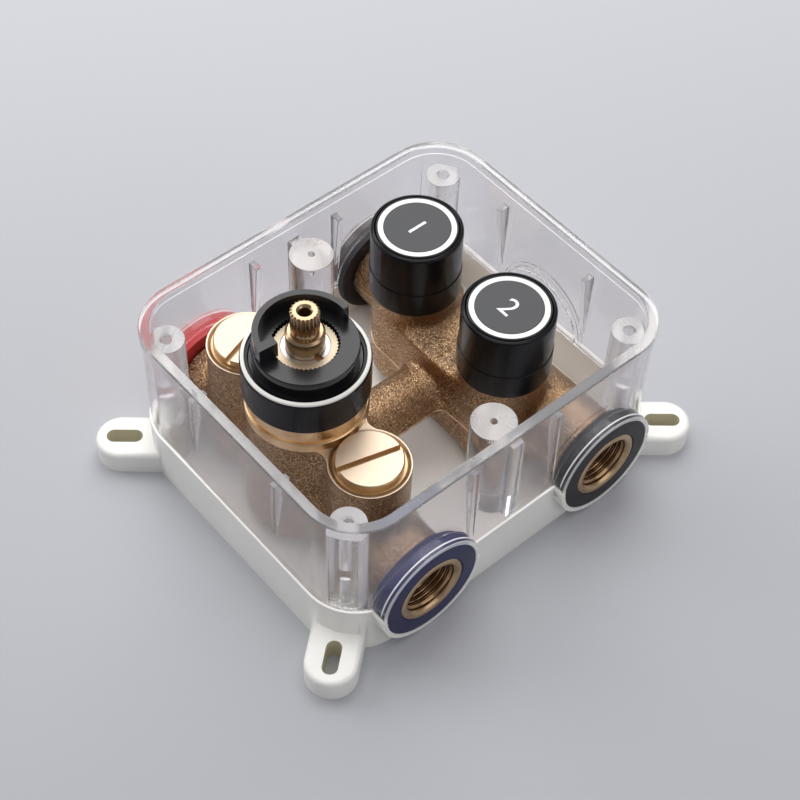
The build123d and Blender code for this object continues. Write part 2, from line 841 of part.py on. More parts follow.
def retaining_clip():
    """The open steel ring round the neck's shoulder."""
    bore = shoulder_r + joint_gap
    ring = turned(0, inlet_y, [
        (bore, foot_top), (foot_r, foot_top), (foot_r, foot_top + clip_thick), (bore, foot_top + clip_thick)])
    return ring - Pos(foot_r, inlet_y, foot_top) * Box(foot_r, clip_gap, 4 * clip_thick)


def temperature_spindle():
    """The brass spindle: splined head with a screw hole, running journal, flange and drive thread."""
    shaft = turned(0, inlet_y, [
        (0, drive_thread_low), (drive_thread_r, drive_thread_low), (drive_thread_r, drive_thread_top),
        (spindle_r, drive_thread_top + drive_thread_neck), (spindle_r, spindle_flange_low),
        (spindle_flange_r, spindle_flange_low), (spindle_flange_r, spindle_flange_top),
        (spindle_r, spindle_flange_top), (spindle_r, shoulder_top), (spline_root_r, spline_low),
        (spline_root_r, spindle_top), (0, spindle_top)])
    teeth = toothed(0, inlet_y, spline_root_r, spline_tip_r, spline_teeth, spline_low, spindle_top)
    teeth &= turned(0, inlet_y, [
        (0, spline_low), (spline_root_r, spline_low), (spline_tip_r, spline_low + spline_edge),
        (spline_tip_r, spindle_top - spline_edge), (spline_root_r, spindle_top), (0, spindle_top)])
    shaft += teeth
    shaft -= upright(0, inlet_y, screw_hole_r, spindle_top - screw_hole_depth, spindle_top)
    sink = screw_sink_r - screw_hole_r
    return shaft - Pos(0, inlet_y, spindle_top - sink) * Cone(screw_hole_r, screw_sink_r, sink, align=BOTTOM)


def drive_nut():
    """The nut that the spindle lifts and lowers: a cup with two keys that stop it turning."""
    bore = drive_thread_r + running
    nut = turned(0, inlet_y, [
        (drive_cup_r, drive_nut_low), (drive_nut_r, drive_nut_low), (drive_nut_r, drive_nut_top),
        (bore, drive_nut_top), (bore, drive_nut_top - drive_roof), (drive_cup_r, drive_nut_top - drive_roof)])
    for side in SIDES:
        key = Box(2 * key_proud, key_width - loose_gap, drive_nut_top - drive_nut_low, align=BOTTOM)
        nut += Pos(side * (drive_nut_r - joint_gap), inlet_y, drive_nut_low) * key
    return nut


def cartridge_case():
    """The cartridge's case: grooves for three rings, hot and cold windows, and mixed windows below."""
    low = chamber_floor + loose_gap
    half = ring_wire + joint_gap / 2
    outline = [(0, low), (case_r, low)]
    for z in (ring_low_z, ring_mid_z, ring_high_z):
        outline += [
            (case_r, z - half), (ring_groove_r, z - half), (ring_groove_r, z + half), (case_r, z + half)]
    floor = low + case_floor
    outline += [(case_r, case_top), (case_bore_r, case_top), (case_bore_r, floor), (0, floor)]
    case = turned(0, inlet_y, outline)
    for turn in range(0, 180, 60):
        for z, height in ((hot_window_z, window_height), (cold_window_z, window_height),
                          ((mixed_low + mixed_high) / 2, mixed_high - mixed_low)):
            case -= Pos(0, inlet_y, z) * Rot(0, 0, turn) * Box(3 * case_r, window_width, height)
    return case


def cartridge_rings():
    """The three rings that keep hot, cold and mixed water apart."""
    wire = ring_wire - joint_gap / 2
    inner = chamber_bore_r - joint_gap - 2 * wire
    return [seal_ring(0, inlet_y, inner, wire, z) for z in (ring_low_z, ring_mid_z, ring_high_z)]


def mixing_piston():
    """The sleeve that slides between the hot and the cold windows, with its spoked hub."""
    outer = case_bore_r - running
    inner = outer - piston_wall
    hub_inner = wax_r + joint_gap
    hub_outer = hub_inner + piston_wall
    piston = turned(0, inlet_y, [
        (hub_inner, web_low - hub_foot), (hub_outer, web_low - hub_foot), (hub_outer, web_low),
        (inner, web_low), (inner, piston_low), (outer, piston_low), (outer, piston_high),
        (inner, piston_high),
        (inner, web_high), (hub_inner, web_high)])
    for turn in range(0, 360, 60):
        piston -= Pos(0, inlet_y, web_low) * Rot(0, 0, turn) * upright(
            (hub_outer + inner) / 2, 0, (inner - hub_outer) / 2 - joint_gap, -cut_past,
            piston_web + cut_past)
    return piston


def wax_element():
    """The wax capsule with its collar on the piston's hub and its pin up into the drive nut."""
    return turned(0, inlet_y, [
        (0, wax_low), (wax_r - wax_edge, wax_low), (wax_r, wax_low + wax_edge), (wax_r, web_high),
        (wax_collar_r, web_high), (wax_collar_r, web_high + wax_collar),
        (wax_r - wax_edge, web_high + wax_collar), (wax_pin_r, wax_top), (wax_pin_r, wax_pin_top),
        (0, wax_pin_top)])


def return_spring():
    """The spring that pushes the piston up, between the case's floor and the piston's web."""
    low = chamber_floor + loose_gap + case_floor
    return coil_spring(0, inlet_y, return_coil_r, return_wire, low, web_low)


def overload_spring():
    """The stiff spring between the wax element's collar and the drive nut's roof."""
    low = web_high + wax_collar
    return coil_spring(0, inlet_y, overload_coil_r, overload_wire, low, drive_nut_top - drive_roof)


def button_collar(side):
    """The lower black ring of a button, seated on the tower's shoulder."""
    return turned(side * tower_x, tower_y, [
        (collar_bore_r, tower_shoulder), (collar_r - soft_edge, tower_shoulder),
        (collar_r, tower_shoulder + soft_edge), (collar_r, collar_top - fine_edge),
        (collar_r - fine_edge, collar_top), (upstand_r, collar_top),
        (upstand_r, collar_top + upstand), (collar_bore_r, collar_top + upstand)])


def button_shell(side):
    """The upper black ring of a button, with a rounded rim."""
    return turned(side * tower_x, tower_y, [
        (shell_bore_r, collar_top), (shell_r - fine_edge, collar_top), (shell_r, collar_top + fine_edge),
        (shell_r, shell_top - shell_edge), (shell_r - shell_edge / 3, shell_top - shell_edge / 3),
        (shell_r - shell_edge, shell_top), (shell_bore_r + fine_edge, shell_top),
        (shell_bore_r, shell_top - fine_edge)])


def button_cap(side):
    """The push cap: a cup with a hub for the stem, recessed above for its ring and face."""
    floor = cap_top - cap_roof
    recess = cap_top - face_depth
    return turned(side * tower_x, tower_y, [
        (stem_r + stem_fit, hub_low), (hub_r, hub_low), (hub_r, floor), (cap_bore_r, floor),
        (cap_bore_r, cap_low), (cap_r, cap_low), (cap_r, cap_top - soft_edge), (cap_r - soft_edge, cap_top),
        (ring_outer_r + joint_gap / 2, cap_top), (ring_outer_r + joint_gap / 2, recess), (0, recess),
        (0, stem_top + joint_gap), (stem_r + stem_fit, stem_top + joint_gap)])


def button_ring(side):
    """The white ring let into the push cap."""
    low = cap_top - face_depth
    return turned(side * tower_x, tower_y, [
        (ring_inner_r, low), (ring_outer_r, low), (ring_outer_r, low + ring_depth),
        (ring_inner_r, low + ring_depth)])


def button_face(side):
    """The grey face disc in the middle of the push cap."""
    low = cap_top - face_depth
    return upright(side * tower_x, tower_y, face_r, low, cap_top - joint_gap / 2)


def diverter_case(side):
    """The brass insert of one outlet: head, stem guide, windows for the feed and the seat below."""
    x = side * tower_x
    high = tower_top + divert_head
    guide = stem_r + running
    groove_r = divert_case_r - 2 * ring_wire
    case = turned(x, tower_y, [
        (divert_seat_r, tower_seat_z), (divert_case_r, tower_seat_z),
        (divert_case_r, divert_ring_z - ring_wire), (groove_r, divert_ring_z - ring_wire),
        (groove_r, divert_ring_z + ring_wire), (divert_case_r, divert_ring_z + ring_wire),
        (divert_case_r, tower_top), (divert_head_r, tower_top), (divert_head_r, high), (guide, high),
        (guide, high - divert_guide), (divert_bore_r, high - divert_guide),
        (divert_bore_r, tower_seat_z + divert_seat), (divert_seat_r, tower_seat_z + divert_seat)])
    for turn in (0, 90):
        case -= Pos(x, tower_y, gallery_z) * Rot(0, 0, turn) * Box(
            4 * divert_case_r, divert_window, divert_window_height)
    return case


def diverter_ring(side):
    """The ring between the diverter case and the tower."""
    wire = ring_wire - joint_gap / 2
    return seal_ring(side * tower_x, tower_y, tower_bore_r - joint_gap - 2 * wire, wire, divert_ring_z)


def diverter_stem(side):
    """The stem that carries the poppet under the seat."""
    seal_top = tower_seat_z - loose_gap
    plate_top = seal_top - divert_seal
    return turned(side * tower_x, tower_y, [
        (0, plate_top - divert_poppet), (divert_poppet_r - seat_edge, plate_top - divert_poppet),
        (divert_poppet_r, plate_top - divert_poppet + seat_edge), (divert_poppet_r, plate_top),
        (stem_r, plate_top), (stem_r, stem_top), (0, stem_top)])


def diverter_seal(side):
    """The rubber washer on the poppet."""
    high = tower_seat_z - loose_gap
    x = side * tower_x
    washer = upright(x, tower_y, divert_poppet_r - soft_edge, high - divert_seal, high)
    return washer - upright(x, tower_y, stem_r + stem_fit, high - divert_seal, high)


def button_spring(side):
    """The spring that lifts the push cap, between it and the diverter's head."""
    return coil_spring(
        side * tower_x, tower_y, button_coil_r, button_wire, tower_top + divert_head, cap_top - cap_roof)


def pan_screw(x, y, shank_r, head_r, head_low, head_height, reach):
    """A screw that stands head down, with a cross recess in its head."""
    seat = head_low + head_height
    screw = turned(x, y, [
        (0, head_low), (head_r - head_round, head_low), (head_r, head_low + head_round), (head_r, seat),
        (shank_r, seat), (shank_r, seat + reach - screw_point), (shank_r / 2, seat + reach),
        (0, seat + reach)])
    arm = Box(cross_long, cross_wide, cross_deep, align=BOTTOM)
    recess = Pos(x, y, head_low) * arm + Pos(x, y, head_low) * Rot(0, 0, 90) * arm
    return screw - recess


def housing_screws():
    """The four screws that hold the clear housing down on the tray."""
    reach = base_height - case_head_floor + case_screw_reach - screw_point
    return [pan_screw(sx * post_x, sy * post_y, case_screw_r, case_head_r, case_head_floor - case_head,
                      case_head, reach) for sx in SIDES for sy in SIDES]


def body_screws():
    """The four screws that hold the brass body down on the tray."""
    reach = body_low - body_head - body_head_room + body_screw_reach
    return [pan_screw(x, y, body_screw_r, body_head_r, body_head_room, body_head, reach)
            for x, y in body_screw_places()]


def write(name, solids):
    """Writes one node as one STEP file."""
    shape = Compound(children=list(solids)) if isinstance(solids, (list, tuple)) else solids
    shape.label = name
    export_step(shape, f"parts/{name}.step")


os.makedirs("parts", exist_ok=True)
write("clear_housing", clear_housing())
write("base_frame", base_frame())
write("valve_body", valve_body())
write("cartridge_nut", cartridge_nut())
write("cartridge_sleeve", cartridge_sleeve())
write("sleeve_ring", sleeve_ring())
write("cartridge_head", cartridge_head())
write("stop_ring", stop_ring())
write("serrated_disc", serrated_disc())
write("spindle_neck", spindle_neck())
write("retaining_clip", retaining_clip())
write("temperature_spindle", temperature_spindle())
write("drive_nut", drive_nut())
write("overload_spring", overload_spring())
write("wax_element", wax_element())
write("mixing_piston", mixing_piston())
write("return_spring", return_spring())
write("cartridge_case", cartridge_case())
write("cartridge_rings", cartridge_rings())
for inlet, side in (("hot", -1), ("cold", 1)):
    write(f"{inlet}_port_gasket", port_gasket(side, inlet_y))
    write(f"{inlet}_plug_cap", plug_cap(side))
    write(f"{inlet}_plug_seal", plug_seal(side))
    write(f"{inlet}_check_housing", check_housing(side))
    write(f"{inlet}_check_poppet", check_poppet(side))
    write(f"{inlet}_check_spring", check_spring(side))
    write(f"{inlet}_strainer", strainer(side))
for outlet, side in (("left", -1), ("right", 1)):
    write(f"{outlet}_outlet_gasket", port_gasket(side, outlet_y))
    write(f"{outlet}_button_collar", button_collar(side))
    write(f"{outlet}_button_shell", button_shell(side))
    write(f"{outlet}_button_cap", button_cap(side))
    write(f"{outlet}_button_ring", button_ring(side))
    write(f"{outlet}_button_face", button_face(side))
    write(f"{outlet}_button_spring", button_spring(side))
    write(f"{outlet}_diverter_case", diverter_case(side))
    write(f"{outlet}_diverter_ring", diverter_ring(side))
    write(f"{outlet}_diverter_stem", diverter_stem(side))
    write(f"{outlet}_diverter_seal", diverter_seal(side))
write("housing_screws", housing_screws())
write("body_screws", body_screws())
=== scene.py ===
import math

import bmesh
import bpy
import numpy as np
from mathutils import Matrix, Vector


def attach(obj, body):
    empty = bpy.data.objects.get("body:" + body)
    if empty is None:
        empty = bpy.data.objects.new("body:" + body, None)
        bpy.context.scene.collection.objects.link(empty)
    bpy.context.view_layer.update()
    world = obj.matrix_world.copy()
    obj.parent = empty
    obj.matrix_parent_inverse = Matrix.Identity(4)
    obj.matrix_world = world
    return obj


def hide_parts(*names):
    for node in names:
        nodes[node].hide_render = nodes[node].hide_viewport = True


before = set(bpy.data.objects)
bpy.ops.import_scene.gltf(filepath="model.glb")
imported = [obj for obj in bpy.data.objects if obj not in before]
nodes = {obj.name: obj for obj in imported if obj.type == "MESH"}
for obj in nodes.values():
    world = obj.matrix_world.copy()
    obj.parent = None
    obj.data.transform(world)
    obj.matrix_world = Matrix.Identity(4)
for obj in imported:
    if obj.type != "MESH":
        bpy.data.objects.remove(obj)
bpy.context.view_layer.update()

MM = 0.001
ROOT = "valve"

# The camera, fitted to the photograph's perspective
EYE = (288.69, -262.14, 525.08)
FORWARD = (-0.454534, 0.415193, -0.788044)
ROLL_RIGHT = (0.648864, 0.760446, 0.026397)
FOCAL_PIXELS = 1776.36
FRAME_PIXELS = 800
SENSOR = 36.0

# Places and sizes in millimetres, the same as the frame's
INLET_Y = -40.4
OUTLET_Y = 40.4
BOSS_X = 32.7
TOWER_X = 23.6
TOWER_Y = 27.8
SPINDLE = (0.0, INLET_Y)
BOSSES = (("hot", -BOSS_X, INLET_Y), ("cold", BOSS_X, INLET_Y))
BUTTONS = (("left", -TOWER_X, TOWER_Y), ("right", TOWER_X, TOWER_Y))
PORTS = (("hot", -1, INLET_Y), ("cold", 1, INLET_Y), ("left", -1, OUTLET_Y), ("right", 1, OUTLET_Y))
PORT_Z = 21.5
PORT_FACE = 66.1
PLUG_TOP = 60.4

# The ports' threads
THREAD_MAJOR_R = 10.43
THREAD_MINOR_R = 9.32
THREAD_PITCH = 1.814
THREAD_START = 52.4
THREAD_WALL = 0.03
MOUTH_DEPTH = 1.2

# The brass body: where its cast part ends, its parting line and its link pipe
CAST_TOP = 55.6
CAST_SIDE = 57.3
CAST_FOOT = 8.0
TOWER_RIM = 48.0
TOWERS_START_Y = 5.0
SEAM_Z = 21.7
LINK_Z = 23.0
LINK_R = 8.0
CHAMBER_SEAT_R = 19.5
BOSS_SEAT_R = 13.4

# Its upright bores, as (distance off the middle, y, radius, from height, to height), and the bores along the
# ports' lines, as (radius, from distance)
WELLS = (
    (0.0, INLET_Y, 18.7, 10.0, 99.0), (0.0, TOWER_Y, 8.2, 14.0, 35.8), (BOSS_X, INLET_Y, 12.1, 12.0, 99.0),
    (TOWER_X, TOWER_Y, 12.5, 12.0, 99.0))
LINE_BORES = ((8.2, 0.0), (12.0, 49.0))

# How its skin is made: the net's width, the rounds of smoothing, the run-outs beside machined places, the height
# of the unevenness, and the bead of flash
CAST_NET = 0.9
FILL_ROUNDS = 55
SOFTEN_ROUNDS = 9
FACE_MARGIN = 0.3
FACE_RUN_OUT = 2.5
FOOT_RUN_OUT = 2.0
BORE_RUN_OUT = 1.5
UNEVEN = 0.25
FLASH_R = 0.26
FLASH_START_Y = -24.4
FLASH_REACH_X = 44.0
FLASH_FEWEST = 8

# The mouldings
RIM_TOP = 70.0
LIP_UNDER = 65.3
POST_TOP = 62.0
CORNER_POST = (48.4, 62.4, 6.3)
WALL_INSIDE = 69.95
RIB_X = 22.0
RIB_HALF = 1.2
RIB_DEPTH = 5.0
RIB_FOOT = 24.8
RIB_FOOT_TALL = 4.5
RIB_LIFT = (10.0, 6.0)
COLLAR_START = 61.35
COLLAR_R = 21.3
TRAY_RIM_Z = 22.5
EAR = (59.2, 78.0)
SLOT_REACH = 7.2
SOFT_EDGE = 0.3
SHARP = math.radians(35)
LEVEL = math.radians(0.6)

# The raised line on each clear collar; it starts and ends 5 degrees above the port's middle
BEAD_X = 64.3
BEAD_R = 0.3
BEAD_SUNK = 0.15
BEAD_START = math.radians(5)
BEAD_TURN = math.radians(170)
BEAD_TAPER = 24.0

# The spindle's splines and the buttons' numerals
SPLINES = 20
SPLINE_ROOT_R = 4.05
SPLINE_TIP_R = 4.85
SPLINE_TOP = 104.2
FACE_TOP = 77.25
NUMERAL_HEIGHT = 8.0
FONT_SHARE = 1.4
NUMERAL_THICK = 0.03

# A rubber ring's section as (radius, distance from the middle): soft edges, a groove and a low lip
RUBBER_SECTION = np.array([
    (13.42, 56.3), (13.52, 56.2), (19.0, 56.2), (19.3, 56.32), (19.4, 56.6), (19.4, 58.15), (19.53, 58.3),
    (19.53, 59.3), (19.45, 59.4), (18.66, 59.42), (18.6, 59.5), (18.6, 60.5), (18.66, 60.58),
    (19.45, 60.6), (19.53, 60.7), (19.53, 65.5), (19.42, 65.78), (19.15, 65.9), (14.6, 65.9), (14.35, 65.94),
    (14.1, 66.02), (13.8, 66.02), (13.55, 65.94), (13.42, 65.8)])

# The spindle's profile as (height, radius between the teeth, radius on the teeth)
SPINDLE_LINES = np.array([
    (56.5, 0.05, 0.05), (56.5, 3.4, 3.4), (57.1, 4.0, 4.0), (72.0, 4.0, 4.0), (72.5, 4.5, 4.5), (79.0, 4.5, 4.5),
    (79.0, 6.3, 6.3), (81.5, 6.3, 6.3), (81.5, 4.5, 4.5), (94.7, 4.5, 4.5), (95.0, 4.35, 4.35),
    (96.0, SPLINE_ROOT_R, SPLINE_ROOT_R), (96.2, SPLINE_ROOT_R, 4.6), (96.4, SPLINE_ROOT_R, SPLINE_TIP_R),
    (SPLINE_TOP - 0.5, SPLINE_ROOT_R, SPLINE_TIP_R), (SPLINE_TOP - 0.12, SPLINE_ROOT_R, 4.4),
    (SPLINE_TOP, 3.95, 4.2), (SPLINE_TOP, 2.75, 2.75), (SPLINE_TOP - 0.1, 2.6, 2.6), (SPLINE_TOP - 0.7, 2.05, 2.05),
    (SPLINE_TOP - 0.9, 1.9, 1.9), (92.4, 1.9, 1.9), (92.2, 1.8, 1.8), (92.2, 0.05, 0.05)])

# The studio, in metres
FLOOR_HALF = 4.0
# Where the floor's painted falloff of light runs, along the view's ground line
FLOOR_FADE = (-0.22, 0.26)
LAMP_AIM = Vector((0, 0, 0.03))


def placed(name, data):
    """A new object in the scene."""
    piece = bpy.data.objects.new(name, data)
    bpy.context.scene.collection.objects.link(piece)
    return piece


def view_camera():
    """Puts the camera where the photograph was taken from."""
    data = bpy.data.cameras.new("camera")
    data.sensor_width = SENSOR
    data.lens = FOCAL_PIXELS / FRAME_PIXELS * SENSOR
    data.clip_start = 0.01
    data.clip_end = 20.0
    camera = placed("camera", data)
    forward = Vector(FORWARD).normalized()
    right = Vector(ROLL_RIGHT)
    right = (right - right.dot(forward) * forward).normalized()
    up = right.cross(forward)
    turn = Matrix((right, up, -forward)).transposed().to_4x4()
    camera.matrix_world = Matrix.Translation(Vector(EYE) * MM) @ turn
    bpy.context.scene.camera = camera


def group(name, inputs, outputs):
    """A shader node group with named inputs and outputs, and its two end nodes."""
    tree = bpy.data.node_groups.new(name, "ShaderNodeTree")
    for label, kind, value in inputs:
        socket = tree.interface.new_socket(label, in_out="INPUT", socket_type=kind)
        if value is not None:
            socket.default_value = value
    for label, kind in outputs:
        tree.interface.new_socket(label, in_out="OUTPUT", socket_type=kind)
    return tree, tree.nodes.new("NodeGroupInput"), tree.nodes.new("NodeGroupOutput")


def math_node(tree, operation, a, b=None):
    """A Math node whose two inputs are sockets or numbers."""
    node = tree.nodes.new("ShaderNodeMath")
    node.operation = operation
    for socket, value in zip(node.inputs, (a, b)):
        if isinstance(value, (int, float)):
            socket.default_value = value
        elif value is not None:
            tree.links.new(value, socket)
    return node.outputs[0]


def grain_group():
    """Fine and coarse noise: a height for bumps, a mottle for colour, and small cells that each have a random
    value and a random tilt, like grains of sand."""
    tree, source, result = group(
        "surface_grain",
        [("Vector", "NodeSocketVector", None), ("Grain Scale", "NodeSocketFloat", 900.0),
         ("Mottle Scale", "NodeSocketFloat", 60.0), ("Fine Share", "NodeSocketFloat", 0.6)],
        [("Height", "NodeSocketFloat"), ("Mottle", "NodeSocketFloat"), ("Speck", "NodeSocketFloat"),
         ("Tilt", "NodeSocketVector")])
    fine = tree.nodes.new("ShaderNodeTexNoise")
    fine.inputs["Detail"].default_value = 3.0
    fine.inputs["Roughness"].default_value = 0.65
    coarse = tree.nodes.new("ShaderNodeTexNoise")
    coarse.inputs["Detail"].default_value = 4.0
    for noise, scale in ((fine, "Grain Scale"), (coarse, "Mottle Scale")):
        tree.links.new(source.outputs["Vector"], noise.inputs["Vector"])
        tree.links.new(source.outputs[scale], noise.inputs["Scale"])
    mix = tree.nodes.new("ShaderNodeMix")
    tree.links.new(source.outputs["Fine Share"], mix.inputs["Factor"])
    tree.links.new(coarse.outputs["Fac"], mix.inputs[2])
    tree.links.new(fine.outputs["Fac"], mix.inputs[3])
    tree.links.new(mix.outputs[0], result.inputs["Height"])
    tree.links.new(coarse.outputs["Fac"], result.inputs["Mottle"])
    cells = tree.nodes.new("ShaderNodeTexVoronoi")
    tree.links.new(source.outputs["Vector"], cells.inputs["Vector"])
    tree.links.new(source.outputs["Grain Scale"], cells.inputs["Scale"])
    parts = tree.nodes.new("ShaderNodeSeparateColor")
    tree.links.new(cells.outputs["Color"], parts.inputs[0])
    tree.links.new(parts.outputs[0], result.inputs["Speck"])
    tilt = tree.nodes.new("ShaderNodeVectorMath")
    tilt.operation = "SUBTRACT"
    tilt.inputs[1].default_value = (0.5, 0.5, 0.5)
    tree.links.new(cells.outputs["Color"], tilt.inputs[0])
    tree.links.new(tilt.outputs[0], result.inputs["Tilt"])
    return tree


def turning_group():
    """Tool marks of turning round Z, broken up by a little noise: the mean of a wave of the distance from the
    axis, which marks flat faces, and a wave of the height, which marks the sides."""
    tree, source, result = group(
        "turning_marks",
        [("Vector", "NodeSocketVector", None), ("Ring Scale", "NodeSocketFloat", 900.0),
         ("Waver", "NodeSocketFloat", 0.4)],
        [("Height", "NodeSocketFloat")])
    waves = []
    for kind in ("RINGS", "BANDS"):
        wave = tree.nodes.new("ShaderNodeTexWave")
        wave.wave_type = kind
        wave.rings_direction = "Z"
        wave.bands_direction = "Z"
        wave.inputs["Detail"].default_value = 2.0
        wave.inputs["Detail Scale"].default_value = 3.0
        tree.links.new(source.outputs["Vector"], wave.inputs["Vector"])
        tree.links.new(source.outputs["Ring Scale"], wave.inputs["Scale"])
        tree.links.new(source.outputs["Waver"], wave.inputs["Distortion"])
        waves.append(wave.outputs["Fac"])
    both = math_node(tree, "ADD", *waves)
    tree.links.new(math_node(tree, "MULTIPLY", both, 0.5), result.inputs["Height"])
    return tree


GRAIN = grain_group()
TURNING = turning_group()


class Finish:
    """One material's node tree, with the few steps that each finish is put together from."""

    def __init__(self, name, **sockets):
        self.material = bpy.data.materials.new(name)
        self.material.use_nodes = True
        self.tree = self.material.node_tree
        self.shader = self.tree.nodes["Principled BSDF"]
        self.place = self.tree.nodes.new("ShaderNodeTexCoord").outputs["Object"]
        for label, value in sockets.items():
            self.shader.inputs[label.replace("_", " ")].default_value = value

    def centred(self, x, y):
        """Object coordinates counted from an upright axis at a place in millimetres."""
        mapping = self.tree.nodes.new("ShaderNodeMapping")
        mapping.inputs["Location"].default_value = (-x * MM, -y * MM, 0.0)
        self.tree.links.new(self.place, mapping.inputs["Vector"])
        return mapping.outputs["Vector"]

    def use(self, tree, vector, **values):
        """Places a shared effect with its own values."""
        node = self.tree.nodes.new("ShaderNodeGroup")
        node.node_tree = tree
        self.tree.links.new(vector, node.inputs["Vector"])
        for label, value in values.items():
            node.inputs[label.replace("_", " ")].default_value = value
        return node

    def ramp(self, factor, stops):
        """A colour ramp over a factor: (position, colour) stops."""
        node = self.tree.nodes.new("ShaderNodeValToRGB")
        while len(node.color_ramp.elements) < len(stops):
            node.color_ramp.elements.new(0.5)
        for element, (position, colour) in zip(node.color_ramp.elements, stops):
            element.position = position
            element.color = (*colour, 1.0)
        self.tree.links.new(factor, node.inputs["Fac"])
        return node.outputs["Color"]

    def spread(self, factor, low, high, at=(0.0, 1.0)):
        """A factor mapped to a range of numbers."""
        node = self.tree.nodes.new("ShaderNodeMapRange")
        node.inputs["From Min"].default_value = at[0]
        node.inputs["From Max"].default_value = at[1]
        node.inputs["To Min"].default_value = low
        node.inputs["To Max"].default_value = high
        self.tree.links.new(factor, node.inputs["Value"])
        return node.outputs["Result"]

    def blend(self, factor, first, second):
        """Two colours mixed by a factor."""
        node = self.tree.nodes.new("ShaderNodeMix")
        node.data_type = "RGBA"
        self.tree.links.new(factor, node.inputs["Factor"])
        self.tree.links.new(first, node.inputs[6])
        self.tree.links.new(second, node.inputs[7])
        return node.outputs[2]

    def bump(self, height, depth, after=None):
        """A Bump node of a depth in millimetres."""
        node = self.tree.nodes.new("ShaderNodeBump")
        node.inputs["Distance"].default_value = depth * MM
        node.inputs["Strength"].default_value = 1.0
        self.tree.links.new(height, node.inputs["Height"])
        if after is not None:
            self.tree.links.new(after, node.inputs["Normal"])
        return node.outputs["Normal"]

    def tilted(self, tilt, amount):
        """The surface's own normal leaned over by a vector, such as each grain's random tilt."""
        lean = self.tree.nodes.new("ShaderNodeVectorMath")
        lean.operation = "MULTIPLY_ADD"
        lean.inputs[1].default_value = (amount, amount, amount)
        self.tree.links.new(tilt, lean.inputs[0])
        self.tree.links.new(self.tree.nodes.new("ShaderNodeNewGeometry").outputs["Normal"], lean.inputs[2])
        unit = self.tree.nodes.new("ShaderNodeVectorMath")
        unit.operation = "NORMALIZE"
        self.tree.links.new(lean.outputs[0], unit.inputs[0])
        return unit.outputs[0]

    def feed(self, **sockets):
        """Joins worked-out colours and values to the shader's sockets."""
        for label, socket in sockets.items():
            self.tree.links.new(socket, self.shader.inputs[label.replace("_", " ")])
        return self.material


def plastic(name, dark, light, rough, grain=1400.0, depth=0.012, mottle=45.0, **sockets):
    """Moulded plastic or rubber: a fine moulded grain and a faint mottle in colour and gloss."""
    finish = Finish(name, **sockets)
    grains = finish.use(GRAIN, finish.place, Grain_Scale=grain, Mottle_Scale=mottle)
    colour = finish.ramp(grains.outputs["Mottle"], [(0.3, dark), (0.7, light)])
    return finish.feed(
        Base_Color=colour, Roughness=finish.spread(grains.outputs["Mottle"], rough * 0.88, rough * 1.12),
        Normal=finish.bump(grains.outputs["Height"], depth))


def turned_brass(name, x, y, light=(0.82, 0.60, 0.39), dark=(0.62, 0.42, 0.25), rough=0.22, rings=700.0,
                 mottle=90.0, cut=0.004):
    """Turned brass: concentric tool marks round the piece's own axis."""
    finish = Finish(name, Metallic=1.0)
    vector = finish.centred(x, y)
    marks = finish.use(TURNING, vector, Ring_Scale=rings)
    grains = finish.use(GRAIN, finish.place, Grain_Scale=1800.0, Mottle_Scale=mottle)
    colour = finish.ramp(grains.outputs["Mottle"], [(0.3, dark), (0.65, light)])
    normal = finish.bump(marks.outputs["Height"], cut)
    return finish.feed(
        Base_Color=colour, Roughness=finish.spread(grains.outputs["Mottle"], rough * 0.8, rough * 1.25),
        Normal=finish.bump(grains.outputs["Height"], 0.004, after=normal))


def cast_brass():
    """Sand-cast brass: a dull brown skin whose grains glint, through their tilt and through painted glints that make
    random grains brighter, and bright where the parting line was filed.
    """
    finish = Finish("cast_brass", Metallic=1.0)
    tree = finish.tree
    grains = finish.use(GRAIN, finish.place, Grain_Scale=2600.0, Mottle_Scale=150.0, Fine_Share=0.88)
    split = tree.nodes.new("ShaderNodeSeparateXYZ")
    tree.links.new(finish.place, split.inputs[0])
    off = math_node(tree, "ABSOLUTE", math_node(tree, "SUBTRACT", split.outputs["Z"], SEAM_Z * MM))
    seam = finish.spread(off, 0.7, 0.0, at=(0.15 * MM, 0.42 * MM))
    # Painted glints: random grains are made brighter in colour, and glossier.
    painted_glint = math_node(tree, "MULTIPLY", grains.outputs["Speck"], 0.18)
    shade = math_node(tree, "ADD", grains.outputs["Height"], math_node(tree, "SUBTRACT", painted_glint, 0.09))
    rough_skin = finish.ramp(shade, [
        (0.33, (0.125, 0.058, 0.026)), (0.5, (0.335, 0.195, 0.10)), (0.68, (0.90, 0.65, 0.41))])
    bright = finish.ramp(grains.outputs["Mottle"], [(0.3, (0.72, 0.54, 0.36)), (0.7, (0.88, 0.70, 0.50))])
    height = math_node(tree, "MULTIPLY", grains.outputs["Height"], finish.spread(seam, 1.0, 0.25))
    colour = finish.blend(seam, rough_skin, bright)
    gloss = finish.spread(shade, 0.40, 0.20, at=(0.35, 0.65))
    facets = finish.tilted(grains.outputs["Tilt"], 0.45)
    return finish.feed(Base_Color=colour, Roughness=gloss, Normal=finish.bump(height, 0.25, after=facets))


